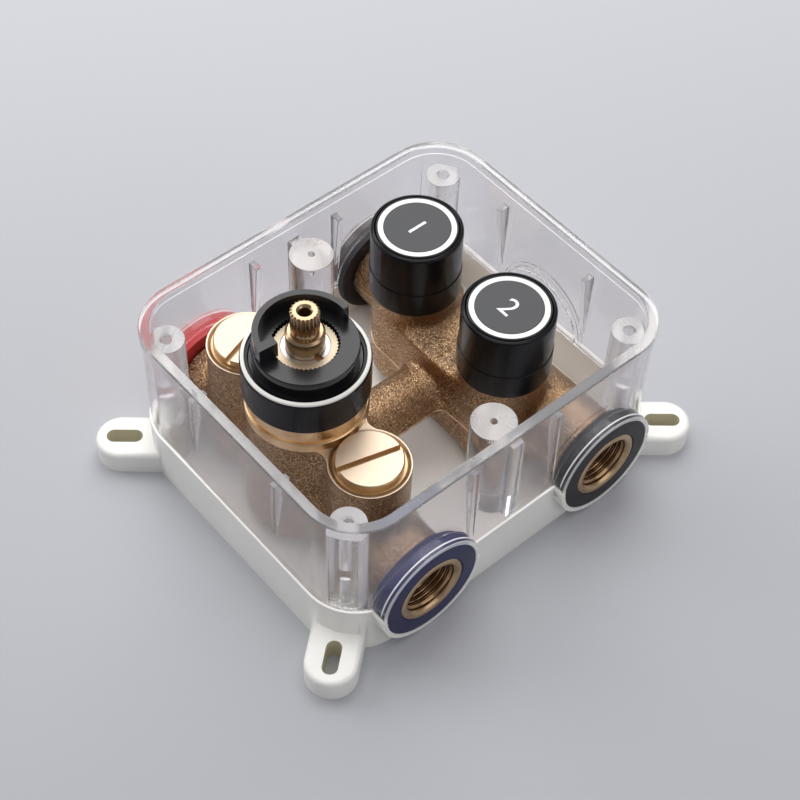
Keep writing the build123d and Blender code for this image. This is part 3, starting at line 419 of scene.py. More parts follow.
def clear_plastic(name, rough, milky, tint):
    """Clear moulded plastic: a little of it is milky, and it lets the lamps through."""
    finish = Finish(name, Transmission_Weight=1.0 - milky, IOR=1.46)
    grains = finish.use(GRAIN, finish.place, Grain_Scale=160.0, Mottle_Scale=35.0)
    finish.feed(
        Base_Color=finish.ramp(grains.outputs["Mottle"], [(0.3, tint), (0.7, tuple(0.99 * c for c in tint))]),
        Roughness=finish.spread(grains.outputs["Mottle"], rough * 0.8, rough * 1.2),
        Normal=finish.bump(grains.outputs["Height"], 0.02))
    tree = finish.tree
    lamp = tree.nodes.new("ShaderNodeBsdfTransparent")
    lamp.inputs["Color"].default_value = (0.96, 0.96, 0.965, 1.0)
    path = tree.nodes.new("ShaderNodeLightPath")
    either = tree.nodes.new("ShaderNodeMixShader")
    tree.links.new(path.outputs["Is Shadow Ray"], either.inputs["Fac"])
    tree.links.new(finish.shader.outputs[0], either.inputs[1])
    tree.links.new(lamp.outputs[0], either.inputs[2])
    tree.links.new(either.outputs[0], tree.nodes["Material Output"].inputs["Surface"])
    return finish.material


def drawn_steel():
    """Bright drawn wire and plated screws."""
    finish = Finish("drawn_steel", Metallic=1.0)
    grains = finish.use(GRAIN, finish.place, Grain_Scale=2500.0, Mottle_Scale=200.0)
    colour = finish.ramp(grains.outputs["Mottle"], [(0.3, (0.52, 0.52, 0.54)), (0.7, (0.74, 0.74, 0.75))])
    return finish.feed(
        Base_Color=colour, Roughness=finish.spread(grains.outputs["Mottle"], 0.22, 0.36),
        Normal=finish.bump(grains.outputs["Height"], 0.004))


def materials():
    """Every finish, by name."""
    return {
        "white_plastic": plastic("white_plastic", (0.90, 0.885, 0.845), (0.94, 0.925, 0.885), 0.42, depth=0.01),
        "black_plastic": plastic(
            "black_plastic", (0.005, 0.0045, 0.006), (0.009, 0.008, 0.010), 0.24, Specular_IOR_Level=0.27),
        "stop_black": plastic(
            "stop_black", (0.007, 0.007, 0.008), (0.012, 0.011, 0.013), 0.22, Specular_IOR_Level=0.5),
        "black_rubber": plastic("black_rubber", (0.010, 0.010, 0.013), (0.020, 0.019, 0.023), 0.5),
        "red_rubber": plastic("red_rubber", (0.42, 0.022, 0.028), (0.52, 0.034, 0.04), 0.45),
        "blue_rubber": plastic("blue_rubber", (0.010, 0.012, 0.062), (0.018, 0.02, 0.10), 0.45),
        # Darker, yellower white plastic for the ears' slots: painted shade, tinted like light coming through the
        # plastic.
        "slot_shaded_plastic": plastic("slot_shaded_plastic", (0.66, 0.62, 0.46), (0.72, 0.68, 0.52), 0.42, depth=0.01),
        "cream_trim": plastic("cream_trim", (0.93, 0.90, 0.85), (0.96, 0.935, 0.89), 0.55, depth=0.004),
        "white_trim": plastic("white_trim", (0.86, 0.85, 0.83), (0.93, 0.92, 0.90), 0.3, depth=0.004),
        "grey_face": plastic(
            "grey_face", (0.034, 0.035, 0.040), (0.043, 0.044, 0.050), 0.36, depth=0.006, Specular_IOR_Level=0.4),
        "pale_moulding": plastic("pale_moulding", (0.52, 0.52, 0.50), (0.62, 0.62, 0.60), 0.4),
        "numeral_print": plastic("numeral_print", (0.84, 0.84, 0.85), (0.90, 0.90, 0.91), 0.5, depth=0.002),
        "clear_plastic": clear_plastic("clear_plastic", 0.09, 0.05, (0.925, 0.91, 0.93)),
        "collar_plastic": clear_plastic("collar_plastic", 0.035, 0.02, (0.97, 0.965, 0.975)),
        "post_plastic": clear_plastic("post_plastic", 0.26, 0.20, (0.95, 0.94, 0.955)),
        # Milky plastic for edges and beads: painted highlight lines.
        "highlight_rim_plastic": clear_plastic("highlight_rim_plastic", 0.25, 0.55, (0.97, 0.96, 0.97)),
        "frosted_plastic": clear_plastic("frosted_plastic", 0.28, 0.10, (0.94, 0.93, 0.95)),
        "cast_brass": cast_brass(),
        "drawn_steel": drawn_steel(),
        # The spindle's brass is darker than the nut's: painted shade, standing in for the dark parts it reflects.
        "spindle_shaded_brass": turned_brass(
            "spindle_shaded_brass", *SPINDLE, light=(0.56, 0.395, 0.25), dark=(0.42, 0.28, 0.165), rough=0.26),
        "nut_brass": turned_brass(
            "nut_brass", *SPINDLE, light=(0.98, 0.72, 0.44), dark=(0.72, 0.46, 0.24), rough=0.3, mottle=150.0,
            rings=520.0, cut=0.03),
        # The threads' brass is darker than the port ends': painted shade inside the bores.
        "thread_shaded_brass": turned_brass(
            "thread_shaded_brass", 0, 0, light=(0.46, 0.29, 0.16), dark=(0.30, 0.185, 0.10), rough=0.16),
        # Level machined faces: paler brass, partly the machined finish and partly a painted highlight.
        "milled_highlight_brass": turned_brass(
            "milled_highlight_brass", 0, 0, light=(0.69, 0.57, 0.44), dark=(0.60, 0.48, 0.355), rough=0.36, rings=420.0),
        "port_brass": turned_brass(
            "port_brass", 0, 0, light=(0.54, 0.385, 0.235), dark=(0.42, 0.29, 0.17), rough=0.28),
        "filed_brass": turned_brass(
            "filed_brass", 0, 0, light=(0.90, 0.72, 0.52), dark=(0.66, 0.48, 0.32), rough=0.3),
        "disc_brass": turned_brass(
            "disc_brass", *SPINDLE, light=(0.51, 0.43, 0.325), dark=(0.41, 0.33, 0.235), rough=0.4),
    }


def coat(data, material):
    """Gives a mesh one finish in place of all that it has."""
    data.materials.clear()
    data.materials.append(material)


def read(items, label, each, kind=float):
    """One property of all the vertices, edges, loops or faces of a mesh, as one long array."""
    values = np.empty(len(items) * each, kind)
    items.foreach_get(label, values)
    return values


def reface(data, material, chosen):
    """Puts a further finish on the faces of a mesh that a test on their centres and normals picks."""
    centre = read(data.polygons, "center", 3).reshape(-1, 3) / MM
    normal = read(data.polygons, "normal", 3).reshape(-1, 3)
    kept = read(data.polygons, "material_index", 1, np.int32)
    data.materials.append(material)
    picked = chosen(centre, normal)
    data.polygons.foreach_set("material_index", np.where(picked, len(data.materials) - 1, kept).astype(np.int32))
    data.update()


def plug_sides(at, out):
    """All of a plug but its flat top; the top keeps a paler brass, a painted highlight."""
    return (out[:, 2] < 0.9) | (at[:, 2] < PLUG_TOP - 0.2)


def dress():
    """Gives every carried-over node its finish, and returns all the finishes by name."""
    finishes = materials()
    plain = {
        "clear_housing": "clear_plastic", "base_frame": "white_plastic", "valve_body": "cast_brass",
        "cartridge_nut": "nut_brass", "cartridge_sleeve": "black_plastic", "sleeve_ring": "cream_trim",
        "cartridge_head": "black_plastic", "stop_ring": "stop_black", "serrated_disc": "disc_brass",
        "spindle_neck": "spindle_shaded_brass", "retaining_clip": "drawn_steel", "temperature_spindle": "spindle_shaded_brass",
        "drive_nut": "spindle_shaded_brass", "overload_spring": "drawn_steel", "wax_element": "spindle_shaded_brass",
        "mixing_piston": "pale_moulding", "return_spring": "drawn_steel", "cartridge_case": "black_plastic",
        "cartridge_rings": "black_rubber", "housing_screws": "drawn_steel", "body_screws": "drawn_steel",
        "hot_port_gasket": "red_rubber", "cold_port_gasket": "blue_rubber"}
    for inlet, x, y in BOSSES:
        # The plugs' flat tops get a paler, greyer brass than their sides and slots: a painted highlight on the same
        # turned brass.
        finishes[f"{inlet}_plug_top_highlight_brass"] = turned_brass(
            f"{inlet}_plug_top_highlight_brass", x, y, light=(0.665, 0.535, 0.42), dark=(0.60, 0.47, 0.355), rough=0.42)
        finishes[f"{inlet}_slot_brass"] = turned_brass(
            f"{inlet}_slot_brass", x, y, light=(0.64, 0.45, 0.27), dark=(0.46, 0.31, 0.175), rough=0.34)
        plain.update({
            f"{inlet}_plug_cap": f"{inlet}_plug_top_highlight_brass", f"{inlet}_plug_seal": "black_rubber",
            f"{inlet}_check_housing": "pale_moulding", f"{inlet}_check_poppet": "pale_moulding",
            f"{inlet}_check_spring": "drawn_steel", f"{inlet}_strainer": "drawn_steel"})
    for outlet, x, y in BUTTONS:
        finishes[f"{outlet}_insert_brass"] = turned_brass(f"{outlet}_insert_brass", x, y)
        plain.update({
            f"{outlet}_outlet_gasket": "black_rubber", f"{outlet}_button_collar": "black_plastic",
            f"{outlet}_button_shell": "black_plastic", f"{outlet}_button_cap": "black_plastic",
            f"{outlet}_button_ring": "white_trim", f"{outlet}_button_face": "grey_face",
            f"{outlet}_button_spring": "drawn_steel", f"{outlet}_diverter_case": f"{outlet}_insert_brass",
            f"{outlet}_diverter_ring": "black_rubber", f"{outlet}_diverter_stem": f"{outlet}_insert_brass",
            f"{outlet}_diverter_seal": "black_rubber"})
    for node, name in plain.items():
        coat(nodes[node].data, finishes[name])
    for inlet, x, y in BOSSES:
        reface(nodes[f"{inlet}_plug_cap"].data, finishes[f"{inlet}_slot_brass"], plug_sides)
    return finishes


def new_mesh(name, places, material, *faces):
    """A smooth piece from an array of places in millimetres and arrays of faces."""
    data = bpy.data.meshes.new(name)
    data.from_pydata((places * MM).tolist(), [], [face for part in faces for face in part.tolist()])
    data.update()
    data.materials.append(material)
    data.polygons.foreach_set("use_smooth", np.full(len(data.polygons), True))
    return placed(name, data)


def grid_faces(rows, columns, close_rows=False, close_columns=False):
    """Quads over a grid of points, row by row; a closed direction joins its last line to its first."""
    row = np.arange(rows if close_rows else rows - 1)
    column = np.arange(columns if close_columns else columns - 1)
    a, b = np.meshgrid(row, column, indexing="ij")
    c = (a + 1) % rows
    d = (b + 1) % columns
    return np.stack([a * columns + b, c * columns + b, c * columns + d, a * columns + d], -1).reshape(-1, 4)


def merged_copy(node, name):
    """A copy of a node's mesh with its loose corners joined."""
    shell = bmesh.new()
    shell.from_mesh(nodes[node].data)
    bmesh.ops.remove_doubles(shell, verts=shell.verts, dist=1e-6)
    data = bpy.data.meshes.new(name)
    shell.to_mesh(data)
    shell.free()
    return placed(name, data)


def curve_mesh(name, curve, material):
    """The mesh that a curve or a text makes, with one finish."""
    source = placed(f"{name}_curve", curve)
    bpy.context.view_layer.update()
    data = bpy.data.meshes.new_from_object(source.evaluated_get(bpy.context.evaluated_depsgraph_get()))
    bpy.data.objects.remove(source)
    data.name = name
    coat(data, material)
    return data


def applied(piece, kind, **values):
    """Adds one modifier to a piece and keeps only its result."""
    modifier = piece.modifiers.new(kind.lower(), kind)
    for label, value in values.items():
        setattr(modifier, label, value)
    old = piece.data
    piece.data = bpy.data.meshes.new_from_object(piece.evaluated_get(bpy.context.evaluated_depsgraph_get()))
    piece.data.name = piece.name
    piece.modifiers.clear()
    bpy.data.meshes.remove(old)


def block(name, low, high):
    """A plain cutting block between two corners in millimetres; it is removed after its cut."""
    corners = np.array([(x, y, z) for x in (low[0], high[0]) for y in (low[1], high[1]) for z in (low[2], high[2])])
    faces = np.array([(0, 1, 3, 2), (4, 6, 7, 5), (0, 4, 5, 1), (2, 3, 7, 6), (0, 2, 6, 4), (1, 5, 7, 3)])
    data = bpy.data.meshes.new(name)
    data.from_pydata((corners * MM).tolist(), [], faces.tolist())
    return placed(name, data)


def corner_sums(count, index, values):
    """Rows of values added up at the vertices they belong to."""
    return np.stack([np.bincount(index, values[:, axis], count) for axis in range(3)], -1)


def skin_normals(places, quads):
    """The unit normals at the vertices: the cross products of the diagonals of the quads round each, added up."""
    across = np.cross(places[quads[:, 2]] - places[quads[:, 0]], places[quads[:, 3]] - places[quads[:, 1]])
    normal = sum(corner_sums(len(places), quads[:, corner], across) for corner in range(4))
    return normal / np.maximum(np.linalg.norm(normal, axis=1, keepdims=True), 1e-9)


def cast_freedom(places):
    """How far each point may be smoothed, from 0 in the bores and at machined faces to 1 a little way off.
    It is the smallest distance from the bores' and faces' limits, divided by a run-out length."""
    wide, y, z = np.abs(places[:, 0]), places[:, 1], places[:, 2]
    limits = [
        (CAST_TOP - FACE_MARGIN - z) / FACE_RUN_OUT, (CAST_SIDE - FACE_MARGIN - wide) / FACE_RUN_OUT,
        (z - CAST_FOOT) / FOOT_RUN_OUT,
        np.where(y > TOWERS_START_Y, (TOWER_RIM - z) / BORE_RUN_OUT, 1.0)]
    for off, at_y, radius, low, high in WELLS:
        apart = (np.hypot(wide - off, y - at_y) - radius) / BORE_RUN_OUT
        limits.append(np.where((z > low) & (z < high), apart, 1.0))
    for radius, start in LINE_BORES:
        apart = (np.hypot(np.abs(y) - OUTLET_Y, z - PORT_Z) - radius) / BORE_RUN_OUT
        limits.append(np.where(wide > start, apart, 1.0))
    apart = (np.hypot(wide, z - LINK_Z) - LINK_R) / BORE_RUN_OUT
    limits.append(np.where((y > INLET_Y) & (y < TOWER_Y), apart, 1.0))
    return np.clip(np.min(limits, axis=0), 0.0, 1.0)


def smoothed(places, quads, pairs, free, rounds, fill_only):
    """Moves every vertex half way to the mean of its neighbours, many times over. With fill_only, the move counts
    only along the outward normal and only outwards, so that hollows fill up into soft blends."""
    index = np.concatenate([pairs[:, 0], pairs[:, 1]])
    other = np.concatenate([pairs[:, 1], pairs[:, 0]])
    ways = np.bincount(index, minlength=len(places))[:, None]
    for _ in range(rounds):
        step = corner_sums(len(places), index, places[other]) / ways - places
        if fill_only:
            normal = skin_normals(places, quads)
            out = np.sum(step * normal, axis=1, keepdims=True)
            step = np.clip(out, 0.0, None) * normal
        places = places + 0.5 * free[:, None] * step
    return places


def unevenness(places, seed=3, waves=14):
    """A casting's gentle unevenness: the mean of sine waves of 5 to 14 mm in random directions."""
    draw = np.random.default_rng(seed)
    heading = draw.normal(size=(waves, 3))
    heading /= np.linalg.norm(heading, axis=1, keepdims=True)
    length = draw.uniform(5.0, 14.0, waves)
    phase = draw.uniform(0, 2 * np.pi, waves)
    return np.sin(places @ (heading / length[:, None]).T * 2 * np.pi + phase).mean(1)


def turned_seats(at, out):
    """The level faces of the brass body's machined tops, and the seats in its chamber and inlet bosses."""
    wide, along = np.abs(at[:, 0]), at[:, 1] - INLET_Y
    return (np.abs(out[:, 2]) > 0.5) | (np.hypot(wide, along) < CHAMBER_SEAT_R) | (
        np.hypot(wide - BOSS_X, along) < BOSS_SEAT_R)


def port_ends(at, out):
    """The machined ends that the ports are cut in."""
    return np.abs(at[:, 0]) > CAST_SIDE - 0.1


def casting(finishes):
    """The brass body's visible shape, in two pieces. The cast part is an even net over the solid, smoothed
    where it isn't machined: hollows fill up, edges soften. The machined ends and tops keep the solid's own mesh."""
    inner = block("cut_block", (-CAST_SIDE, -90, -5), (CAST_SIDE, 90, CAST_TOP))
    cast = merged_copy("valve_body", "valve_casting")
    applied(cast, "REMESH", mode="VOXEL", voxel_size=CAST_NET * MM, adaptivity=0.0)
    data = cast.data
    places = read(data.vertices, "co", 3).reshape(-1, 3) / MM
    quads = read(data.loops, "vertex_index", 1, np.int32).reshape(-1, 4)
    pairs = read(data.edges, "vertices", 2, np.int32).reshape(-1, 2)
    free = cast_freedom(places)
    places = smoothed(places, quads, pairs, free, FILL_ROUNDS, True)
    places = smoothed(places, quads, pairs, free, SOFTEN_ROUNDS, False)
    normal = skin_normals(places, quads)
    places += (UNEVEN * free * unevenness(places))[:, None] * normal
    data.vertices.foreach_set("co", (places * MM).ravel())
    held = cast.vertex_groups.new(name="held")
    stiff = np.round(1 - free, 1)
    for weight in np.unique(stiff):
        held.add(np.nonzero(stiff == weight)[0].tolist(), float(weight), "REPLACE")
    solid = merged_copy("valve_body", "valve_machined")
    applied(cast, "SHRINKWRAP", target=solid, wrap_method="NEAREST_SURFACEPOINT", vertex_group="held")
    parting_flash(cast, finishes["filed_brass"])
    applied(cast, "BOOLEAN", operation="INTERSECT", solver="MANIFOLD", object=inner)
    applied(solid, "BOOLEAN", operation="DIFFERENCE", solver="MANIFOLD", object=inner)
    bpy.data.objects.remove(inner)
    for piece in (cast, solid):
        piece.vertex_groups.clear()
        coat(piece.data, finishes["cast_brass"])
        settle(piece, 38)
        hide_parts("valve_body")
    # The level machined faces get a pale brass: the machined finish with a painted highlight.
    reface(solid.data, finishes["milled_highlight_brass"], turned_seats)
    reface(solid.data, finishes["port_brass"], port_ends)


def settle(piece, sharp_angle):
    """Smooth shading with sharp edges past an angle; the piece rides on the valve's body."""
    piece.data.polygons.foreach_set("use_smooth", np.full(len(piece.data.polygons), True))
    piece.data.set_sharp_from_angle(angle=math.radians(sharp_angle))
    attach(piece, ROOT)


def chained(links):
    """The runs of vertices that follow one another, as lists: open runs from one of their ends, then closed ones."""
    unused = set(links)
    ends = sorted(index for index in links if len(links[index][1]) == 1)
    for first in ends + sorted(unused):
        if first not in unused:
            continue
        chain, onward = [], [first]
        while onward:
            chain.append(onward[0])
            unused.discard(onward[0])
            onward = [index for index in links[chain[-1]][1] if index in unused]
        yield chain


def parting_flash(cast, material):
    """The thin line of flash where the mould's halves met. The casting is cut at the parting's height, and a
    fine round bead follows the cut wherever the skin is cast; its thickness wavers as the sum of two sines."""
    shell = bmesh.new()
    shell.from_mesh(cast.data)
    cut = bmesh.ops.bisect_plane(
        shell, geom=shell.verts[:] + shell.edges[:] + shell.faces[:], plane_co=(0, 0, SEAM_Z * MM),
        plane_no=(0, 0, 1))["geom_cut"]
    edges = [item for item in cut if isinstance(item, bmesh.types.BMEdge)]
    middles = np.array([(edge.verts[0].co + edge.verts[1].co) / 2 / MM for edge in edges])
    outside = (cast_freedom(middles) > 0.95) & (middles[:, 1] > FLASH_START_Y) & (
        np.abs(middles[:, 0]) < FLASH_REACH_X)
    links = {}
    for edge in [edge for edge, good in zip(edges, outside) if good]:
        for one, two in (edge.verts, reversed(edge.verts)):
            links.setdefault(one.index, (one.co.copy(), []))[1].append(two.index)
    shell.free()
    curve = bpy.data.curves.new("parting_flash", "CURVE")
    curve.dimensions = "3D"
    curve.bevel_depth = FLASH_R * MM
    curve.bevel_resolution = 1
    curve.use_fill_caps = True
    for chain in chained(links):
        if len(chain) < FLASH_FEWEST:
            continue
        spline = curve.splines.new("POLY")
        spline.points.add(len(chain) - 1)
        for step, index in enumerate(chain):
            spline.points[step].co = (*links[index][0], 1.0)
            spline.points[step].radius = 0.8 + 0.22 * math.sin(step * 0.9) + 0.16 * math.sin(step * 0.37 + 1.0)
    settle(placed("parting_flash", curve_mesh("parting_flash", curve, material)), 80)


def shorter_ribs(places):
    """Lifts the feet of the wedge ribs on the two walls without ports, which end higher than the solid's; the
    near wall's ribs end highest."""
    x, y, z = places.T
    deep = WALL_INSIDE - np.abs(y)
    foot = (np.abs(np.abs(x) - RIB_X) < RIB_HALF + 0.2) & (deep > -0.05) & (deep < RIB_DEPTH) & (
        z > RIB_FOOT - 0.3) & (z < RIB_FOOT + RIB_FOOT_TALL)
    return places + np.stack([0 * x, 0 * x, foot * np.where(y < 0, *RIB_LIFT)], -1)


def edge_weights(shell, low):
    """Marks every sharp edge that lies above a height, for the bevel."""
    weight = shell.edges.layers.float.new("bevel_weight_edge")
    for edge in shell.edges:
        high = min(corner.co.z for corner in edge.verts) > low * MM
        edge[weight] = float(high and len(edge.link_faces) == 2 and edge.calc_face_angle() > SHARP)


def soft_edged(node, name, reshape, low):
    """A moulding whose sharp edges above a height are rounded with a fine bevel. Its flat faces are joined up
    first: all of them after its points have been moved by reshape, or else only those below the height."""
    piece = merged_copy(node, name)
    shell = bmesh.new()
    shell.from_mesh(piece.data)
    if reshape:
        places = np.array([corner.co for corner in shell.verts]) / MM
        for corner, place in zip(shell.verts, reshape(places) * MM):
            corner.co = place
    joined = math.inf if reshape else low - 1.0
    corners = [corner for corner in shell.verts if corner.co.z < joined * MM]
    edges = [edge for edge in shell.edges if max(corner.co.z for corner in edge.verts) < joined * MM]
    bmesh.ops.dissolve_limit(shell, angle_limit=LEVEL, verts=corners, edges=edges)
    edge_weights(shell, low)
    shell.to_mesh(piece.data)
    shell.free()
    applied(piece, "BEVEL", width=SOFT_EDGE * MM, segments=2, limit_method="WEIGHT", use_clamp_overlap=False)
    if reshape:
        applied(piece, "TRIANGULATE")
    settle(piece, 40)
    applied(piece, "WEIGHTED_NORMAL", keep_sharp=True)
    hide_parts(node)
    return piece


def lip_and_post_tops(at, out):
    """The upward faces of the clear housing's lip and of its posts' tops."""
    z = at[:, 2]
    return (out[:, 2] > 0.5) & ((z > RIM_TOP - 0.5) | (z > POST_TOP - 0.6) & (z < POST_TOP + 0.5))


def wedge_ribs(at, out):
    """The wedge ribs, where they stand off their walls."""
    deep = WALL_INSIDE - np.abs(at[:, 1])
    return (np.abs(np.abs(at[:, 0]) - RIB_X) < RIB_HALF + 0.1) & (deep > 0.05) & (deep < RIB_DEPTH)


def corner_posts(at, out):
    """The corner posts, below their tops."""
    off = np.hypot(np.abs(at[:, 0]) - CORNER_POST[0], np.abs(at[:, 1]) - CORNER_POST[1])
    return (at[:, 2] < POST_TOP - 0.6) & (off < CORNER_POST[2] + 0.2)


def port_collars(at, out):
    """The clear collars round the ports."""
    off = np.hypot(np.abs(at[:, 1]) - OUTLET_Y, at[:, 2] - PORT_Z)
    return (np.abs(at[:, 0]) > COLLAR_START) & (off < COLLAR_R)


def painted_highlight_edges(at, out):
    """The collars' front edges and the underside of the lip, which get milky plastic as a painted highlight."""
    front = (np.abs(at[:, 0]) > PORT_FACE - 1.2) & (np.abs(out[:, 0]) > 0.3)
    return front | (out[:, 2] < -0.5) & (np.abs(at[:, 2] - LIP_UNDER) < 0.4)


def ear_slots(at, out):
    """The upright walls of the slots in the tray's ears."""
    off = np.hypot(np.abs(at[:, 0]) - EAR[0], np.abs(at[:, 1]) - EAR[1])
    return (np.abs(out[:, 2]) < 0.3) & (off < SLOT_REACH)


def mouldings(finishes):
    """The clear housing and the white tray with the fine rounded edges that catch the light."""
    clear = soft_edged("clear_housing", "housing_moulding", shorter_ribs, -1.0).data
    coat(clear, finishes["clear_plastic"])
    for name, chosen in (
            ("frosted_plastic", lip_and_post_tops), ("frosted_plastic", wedge_ribs), ("post_plastic", corner_posts),
            ("collar_plastic", port_collars), ("highlight_rim_plastic", painted_highlight_edges)):
        reface(clear, finishes[name], chosen)
    tray = soft_edged("base_frame", "tray_moulding", None, TRAY_RIM_Z - 2.0).data
    coat(tray, finishes["white_plastic"])
    # Painted shade on the slots' walls.
    reface(tray, finishes["slot_shaded_plastic"], ear_slots)


def port_rubber(name, side, y, node, slot, material, steps=160):
    """One port's rubber ring: its closed section carried round the port's axis. It presses into the clear
    collar."""
    angle = np.arange(steps) * 2 * np.pi / steps
    radius = RUBBER_SECTION[:, 0][:, None] + 0 * angle
    depth = RUBBER_SECTION[:, 1][:, None] + 0 * angle
    places = np.stack([side * depth, y + side * radius * np.cos(angle), PORT_Z + radius * np.sin(angle)], -1)
    faces = grid_faces(len(RUBBER_SECTION), steps, True, True)[:, ::-1]
    piece = new_mesh(name, places.reshape(-1, 3), material, faces)
    piece.data.set_sharp_from_angle(angle=math.radians(50))
    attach(piece, ROOT)
    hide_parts(node)


def port_thread(name, side, y, material, steps=120, per_turn=8):
    """The thread in one port. Radius = a rounded V wave of (depth - pitch * angle / full turn), between
    the minor and the major radius, which fades out at both ends of the hole; a plain wall closes it behind."""
    mouth = PORT_FACE - MOUTH_DEPTH
    turns = (mouth - THREAD_START) / THREAD_PITCH
    along = np.linspace(THREAD_START, mouth, int(turns * per_turn) + 1)
    angle = np.arange(steps) * 2 * np.pi / steps
    depth, round_ = np.meshgrid(along, angle, indexing="ij")
    phase = (depth / THREAD_PITCH - round_ / (2 * np.pi)) % 1.0
    wave = np.clip(1.15 * np.abs(2 * phase - 1) - 0.08, 0.0, 1.0)
    fade = np.clip((mouth - depth) / THREAD_PITCH, 0.0, 1.0)
    radius = THREAD_MAJOR_R - (THREAD_MAJOR_R - THREAD_MINOR_R) * wave * fade
    back = np.full((1, steps), THREAD_MAJOR_R + THREAD_WALL)
    radius = np.concatenate([back, radius, back])
    depth = np.concatenate([depth[:1], depth, depth[-1:]])
    round_ = np.concatenate([round_[:1], round_, round_[:1]])
    places = np.stack([side * depth, y + side * radius * np.cos(round_), PORT_Z + radius * np.sin(round_)], -1)
    piece = new_mesh(name, places.reshape(-1, 3), material, grid_faces(len(depth), steps, True, True))
    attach(piece, ROOT)


def collar_bead(name, side, y, material, steps=90, around=10):
    """The fine raised line over the upper half of a port's clear collar: a round bead carried along an arc of the
    collar's radius; its thickness falls to nothing at both ends, where it closes in a point."""
    along = np.linspace(0.0, 1.0, steps)
    turn = BEAD_START + along * BEAD_TURN
    thick = BEAD_R * np.clip(BEAD_TAPER * np.minimum(along, 1.0 - along), 0.0, 1.0)
    section = np.arange(around) * 2 * np.pi / around
    radius = COLLAR_R - BEAD_SUNK + thick[:, None] * np.cos(section)
    depth = BEAD_X + thick[:, None] * np.sin(section)
    places = np.stack([side * depth, y - side * radius * np.cos(turn)[:, None],
                       PORT_Z + radius * np.sin(turn)[:, None]], -1)
    piece = new_mesh(name, places.reshape(-1, 3), material, grid_faces(steps, around, False, True)[:, ::-1])
    shell = bmesh.new()
    shell.from_mesh(piece.data)
    bmesh.ops.remove_doubles(shell, verts=shell.verts, dist=1e-7)
    shell.to_mesh(piece.data)
    shell.free()
    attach(piece, ROOT)


def splined_spindle(material, per_tooth=10):
    """The spindle: its profile carried round its axis. Between the two radii of a line, the radius follows a
    flat-topped V wave with one period to a tooth; where they are equal, the line is round. A fan of triangles
    closes each end."""
    steps = SPLINES * per_tooth
    ring = np.arange(steps)
    onward = (ring + 1) % steps
    angle = ring * 2 * np.pi / steps
    tooth = np.clip(1.9 * np.abs(2 * ((angle * SPLINES / (2 * np.pi)) % 1.0) - 1) - 0.35, 0.0, 1.0)
    height, root, tip = (column[:, None] for column in SPINDLE_LINES.T)
    radius = root + (tip - root) * tooth
    places = np.stack([
        SPINDLE[0] + radius * np.cos(angle), SPINDLE[1] + radius * np.sin(angle), height + 0 * angle], -1)
    middles = np.array([(*SPINDLE, SPINDLE_LINES[0, 0]), (*SPINDLE, SPINDLE_LINES[-1, 0])])
    rows = len(SPINDLE_LINES)
    last = (rows - 1) * steps
    low_fan = np.stack([np.full(steps, rows * steps), onward, ring], -1)
    high_fan = np.stack([np.full(steps, rows * steps + 1), last + ring, last + onward], -1)
    piece = new_mesh(
        "splined_spindle", np.concatenate([places.reshape(-1, 3), middles]), material,
        grid_faces(rows, steps, False, True)[:, ::-1], low_fan, high_fan)
    piece.data.set_sharp_from_angle(angle=math.radians(32))
    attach(piece, "temperature_spindle_body")
    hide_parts("temperature_spindle")


def numeral(name, text, x, y, body, material):
    """A printed numeral in the middle of a button's face, upright along +Y."""
    curve = bpy.data.curves.new(name, "FONT")
    curve.body = text
    curve.size = NUMERAL_HEIGHT * FONT_SHARE * MM
    curve.extrude = NUMERAL_THICK * MM
    curve.align_x = "CENTER"
    curve.align_y = "CENTER"
    curve.resolution_u = 6
    data = curve_mesh(name, curve, material)
    places = read(data.vertices, "co", 3).reshape(-1, 3)
    middle = (places.min(0) + places.max(0)) / 2
    data.transform(Matrix.Translation((x * MM - middle[0], y * MM - middle[1], FACE_TOP * MM)))
    piece = placed(name, data)
    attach(piece, body)


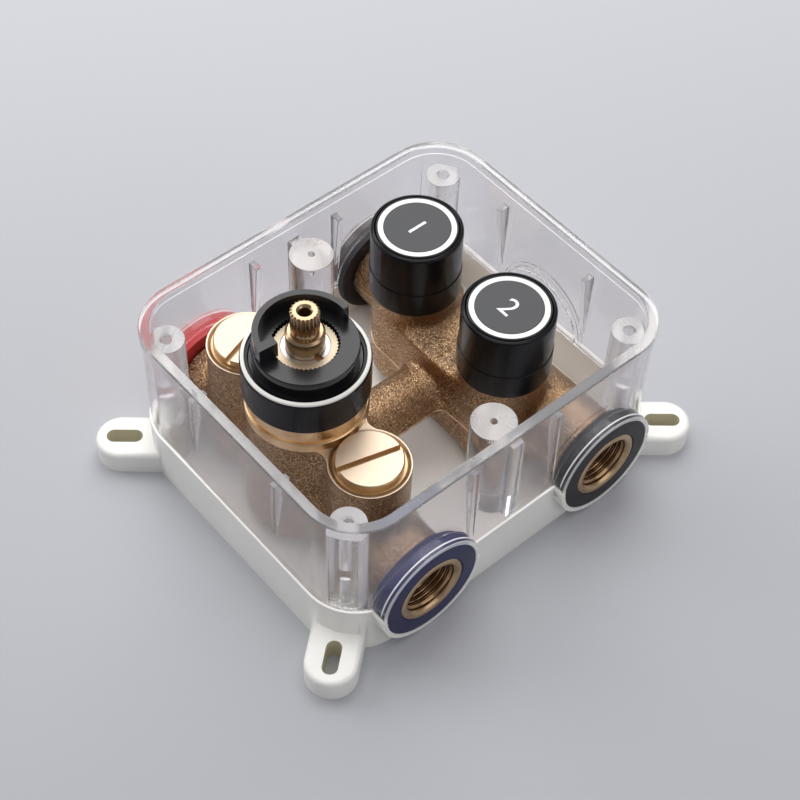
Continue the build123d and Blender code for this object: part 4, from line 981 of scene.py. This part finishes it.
def floor():
    """A wide pale floor. Its grey falls from far to near along the view's ground line: a painted falloff of the
    light, darker near the camera.
    """
    data = bpy.data.meshes.new("floor")
    corners = [(FLOOR_HALF * x, FLOOR_HALF * y, 0) for x, y in ((-1, -1), (1, -1), (1, 1), (-1, 1))]
    data.from_pydata(corners, [], [(0, 1, 2, 3)])
    piece = placed("floor", data)
    finish = Finish("floor_paper", Roughness=0.9, Specular_IOR_Level=0.2)
    turned = finish.tree.nodes.new("ShaderNodeMapping")
    turned.inputs["Rotation"].default_value[2] = -math.atan2(FORWARD[1], FORWARD[0])
    finish.tree.links.new(finish.place, turned.inputs["Vector"])
    split = finish.tree.nodes.new("ShaderNodeSeparateXYZ")
    finish.tree.links.new(turned.outputs["Vector"], split.inputs[0])
    colour = finish.ramp(finish.spread(split.outputs["X"], 0.0, 1.0, at=FLOOR_FADE), [
        (0.0, (0.435, 0.44, 0.467)), (1.0, (0.542, 0.547, 0.575))])
    grains = finish.use(GRAIN, finish.place, Grain_Scale=1200.0, Mottle_Scale=8.0)
    finish.feed(Base_Color=colour, Roughness=finish.spread(grains.outputs["Mottle"], 0.85, 0.95))
    data.materials.append(finish.material)


def lamp(name, place, size, power):
    """A square soft light that looks at the object."""
    data = bpy.data.lights.new(name, "AREA")
    data.shape = "SQUARE"
    data.size = size
    data.energy = power
    light = placed(name, data)
    light.location = place
    light.rotation_euler = (LAMP_AIM - Vector(place)).to_track_quat("-Z", "Y").to_euler()


def studio():
    """Plain soft studio light: large panels behind and above the object, one at each side, and the room."""
    world = bpy.data.worlds.new("room")
    bpy.context.scene.world = world
    world.use_nodes = True
    world.node_tree.nodes["Background"].inputs["Color"].default_value = (0.83, 0.84, 0.87, 1.0)
    world.node_tree.nodes["Background"].inputs["Strength"].default_value = 0.27
    lamp("back_panel", (-0.55, 0.55, 1.05), 1.15, 11.5)
    lamp("top_panel", (0.1, -0.1, 1.5), 1.4, 7.5)
    lamp("left_panel", (-1.0, -0.5, 0.7), 0.8, 6.4)
    lamp("right_panel", (1.15, 0.35, 0.5), 0.8, 2.2)


view_camera()
finishes = dress()
casting(finishes)
mouldings(finishes)
for label, side, y in PORTS:
    port_thread(f"{label}_port_thread", side, y, finishes["thread_shaded_brass"])
    rubber = {"hot": "red_rubber", "cold": "blue_rubber"}.get(label, "black_rubber")
    node = f"{label}_port_gasket" if y == INLET_Y else f"{label}_outlet_gasket"
    port_rubber(f"{label}_port_rubber", side, y, node, rubber, finishes[rubber])
    # The bead's milky plastic is a painted highlight line.
    collar_bead(f"{label}_collar_bead", side, y, finishes["highlight_rim_plastic"])
for text, (outlet, x, y) in zip("12", BUTTONS):
    numeral(f"{outlet}_numeral", text, x, y, f"{outlet}_button_body", finishes["numeral_print"])
splined_spindle(finishes["spindle_shaded_brass"])
floor()
studio()

bpy.context.scene.view_settings.view_transform = "Standard"
bpy.context.view_layer.update()
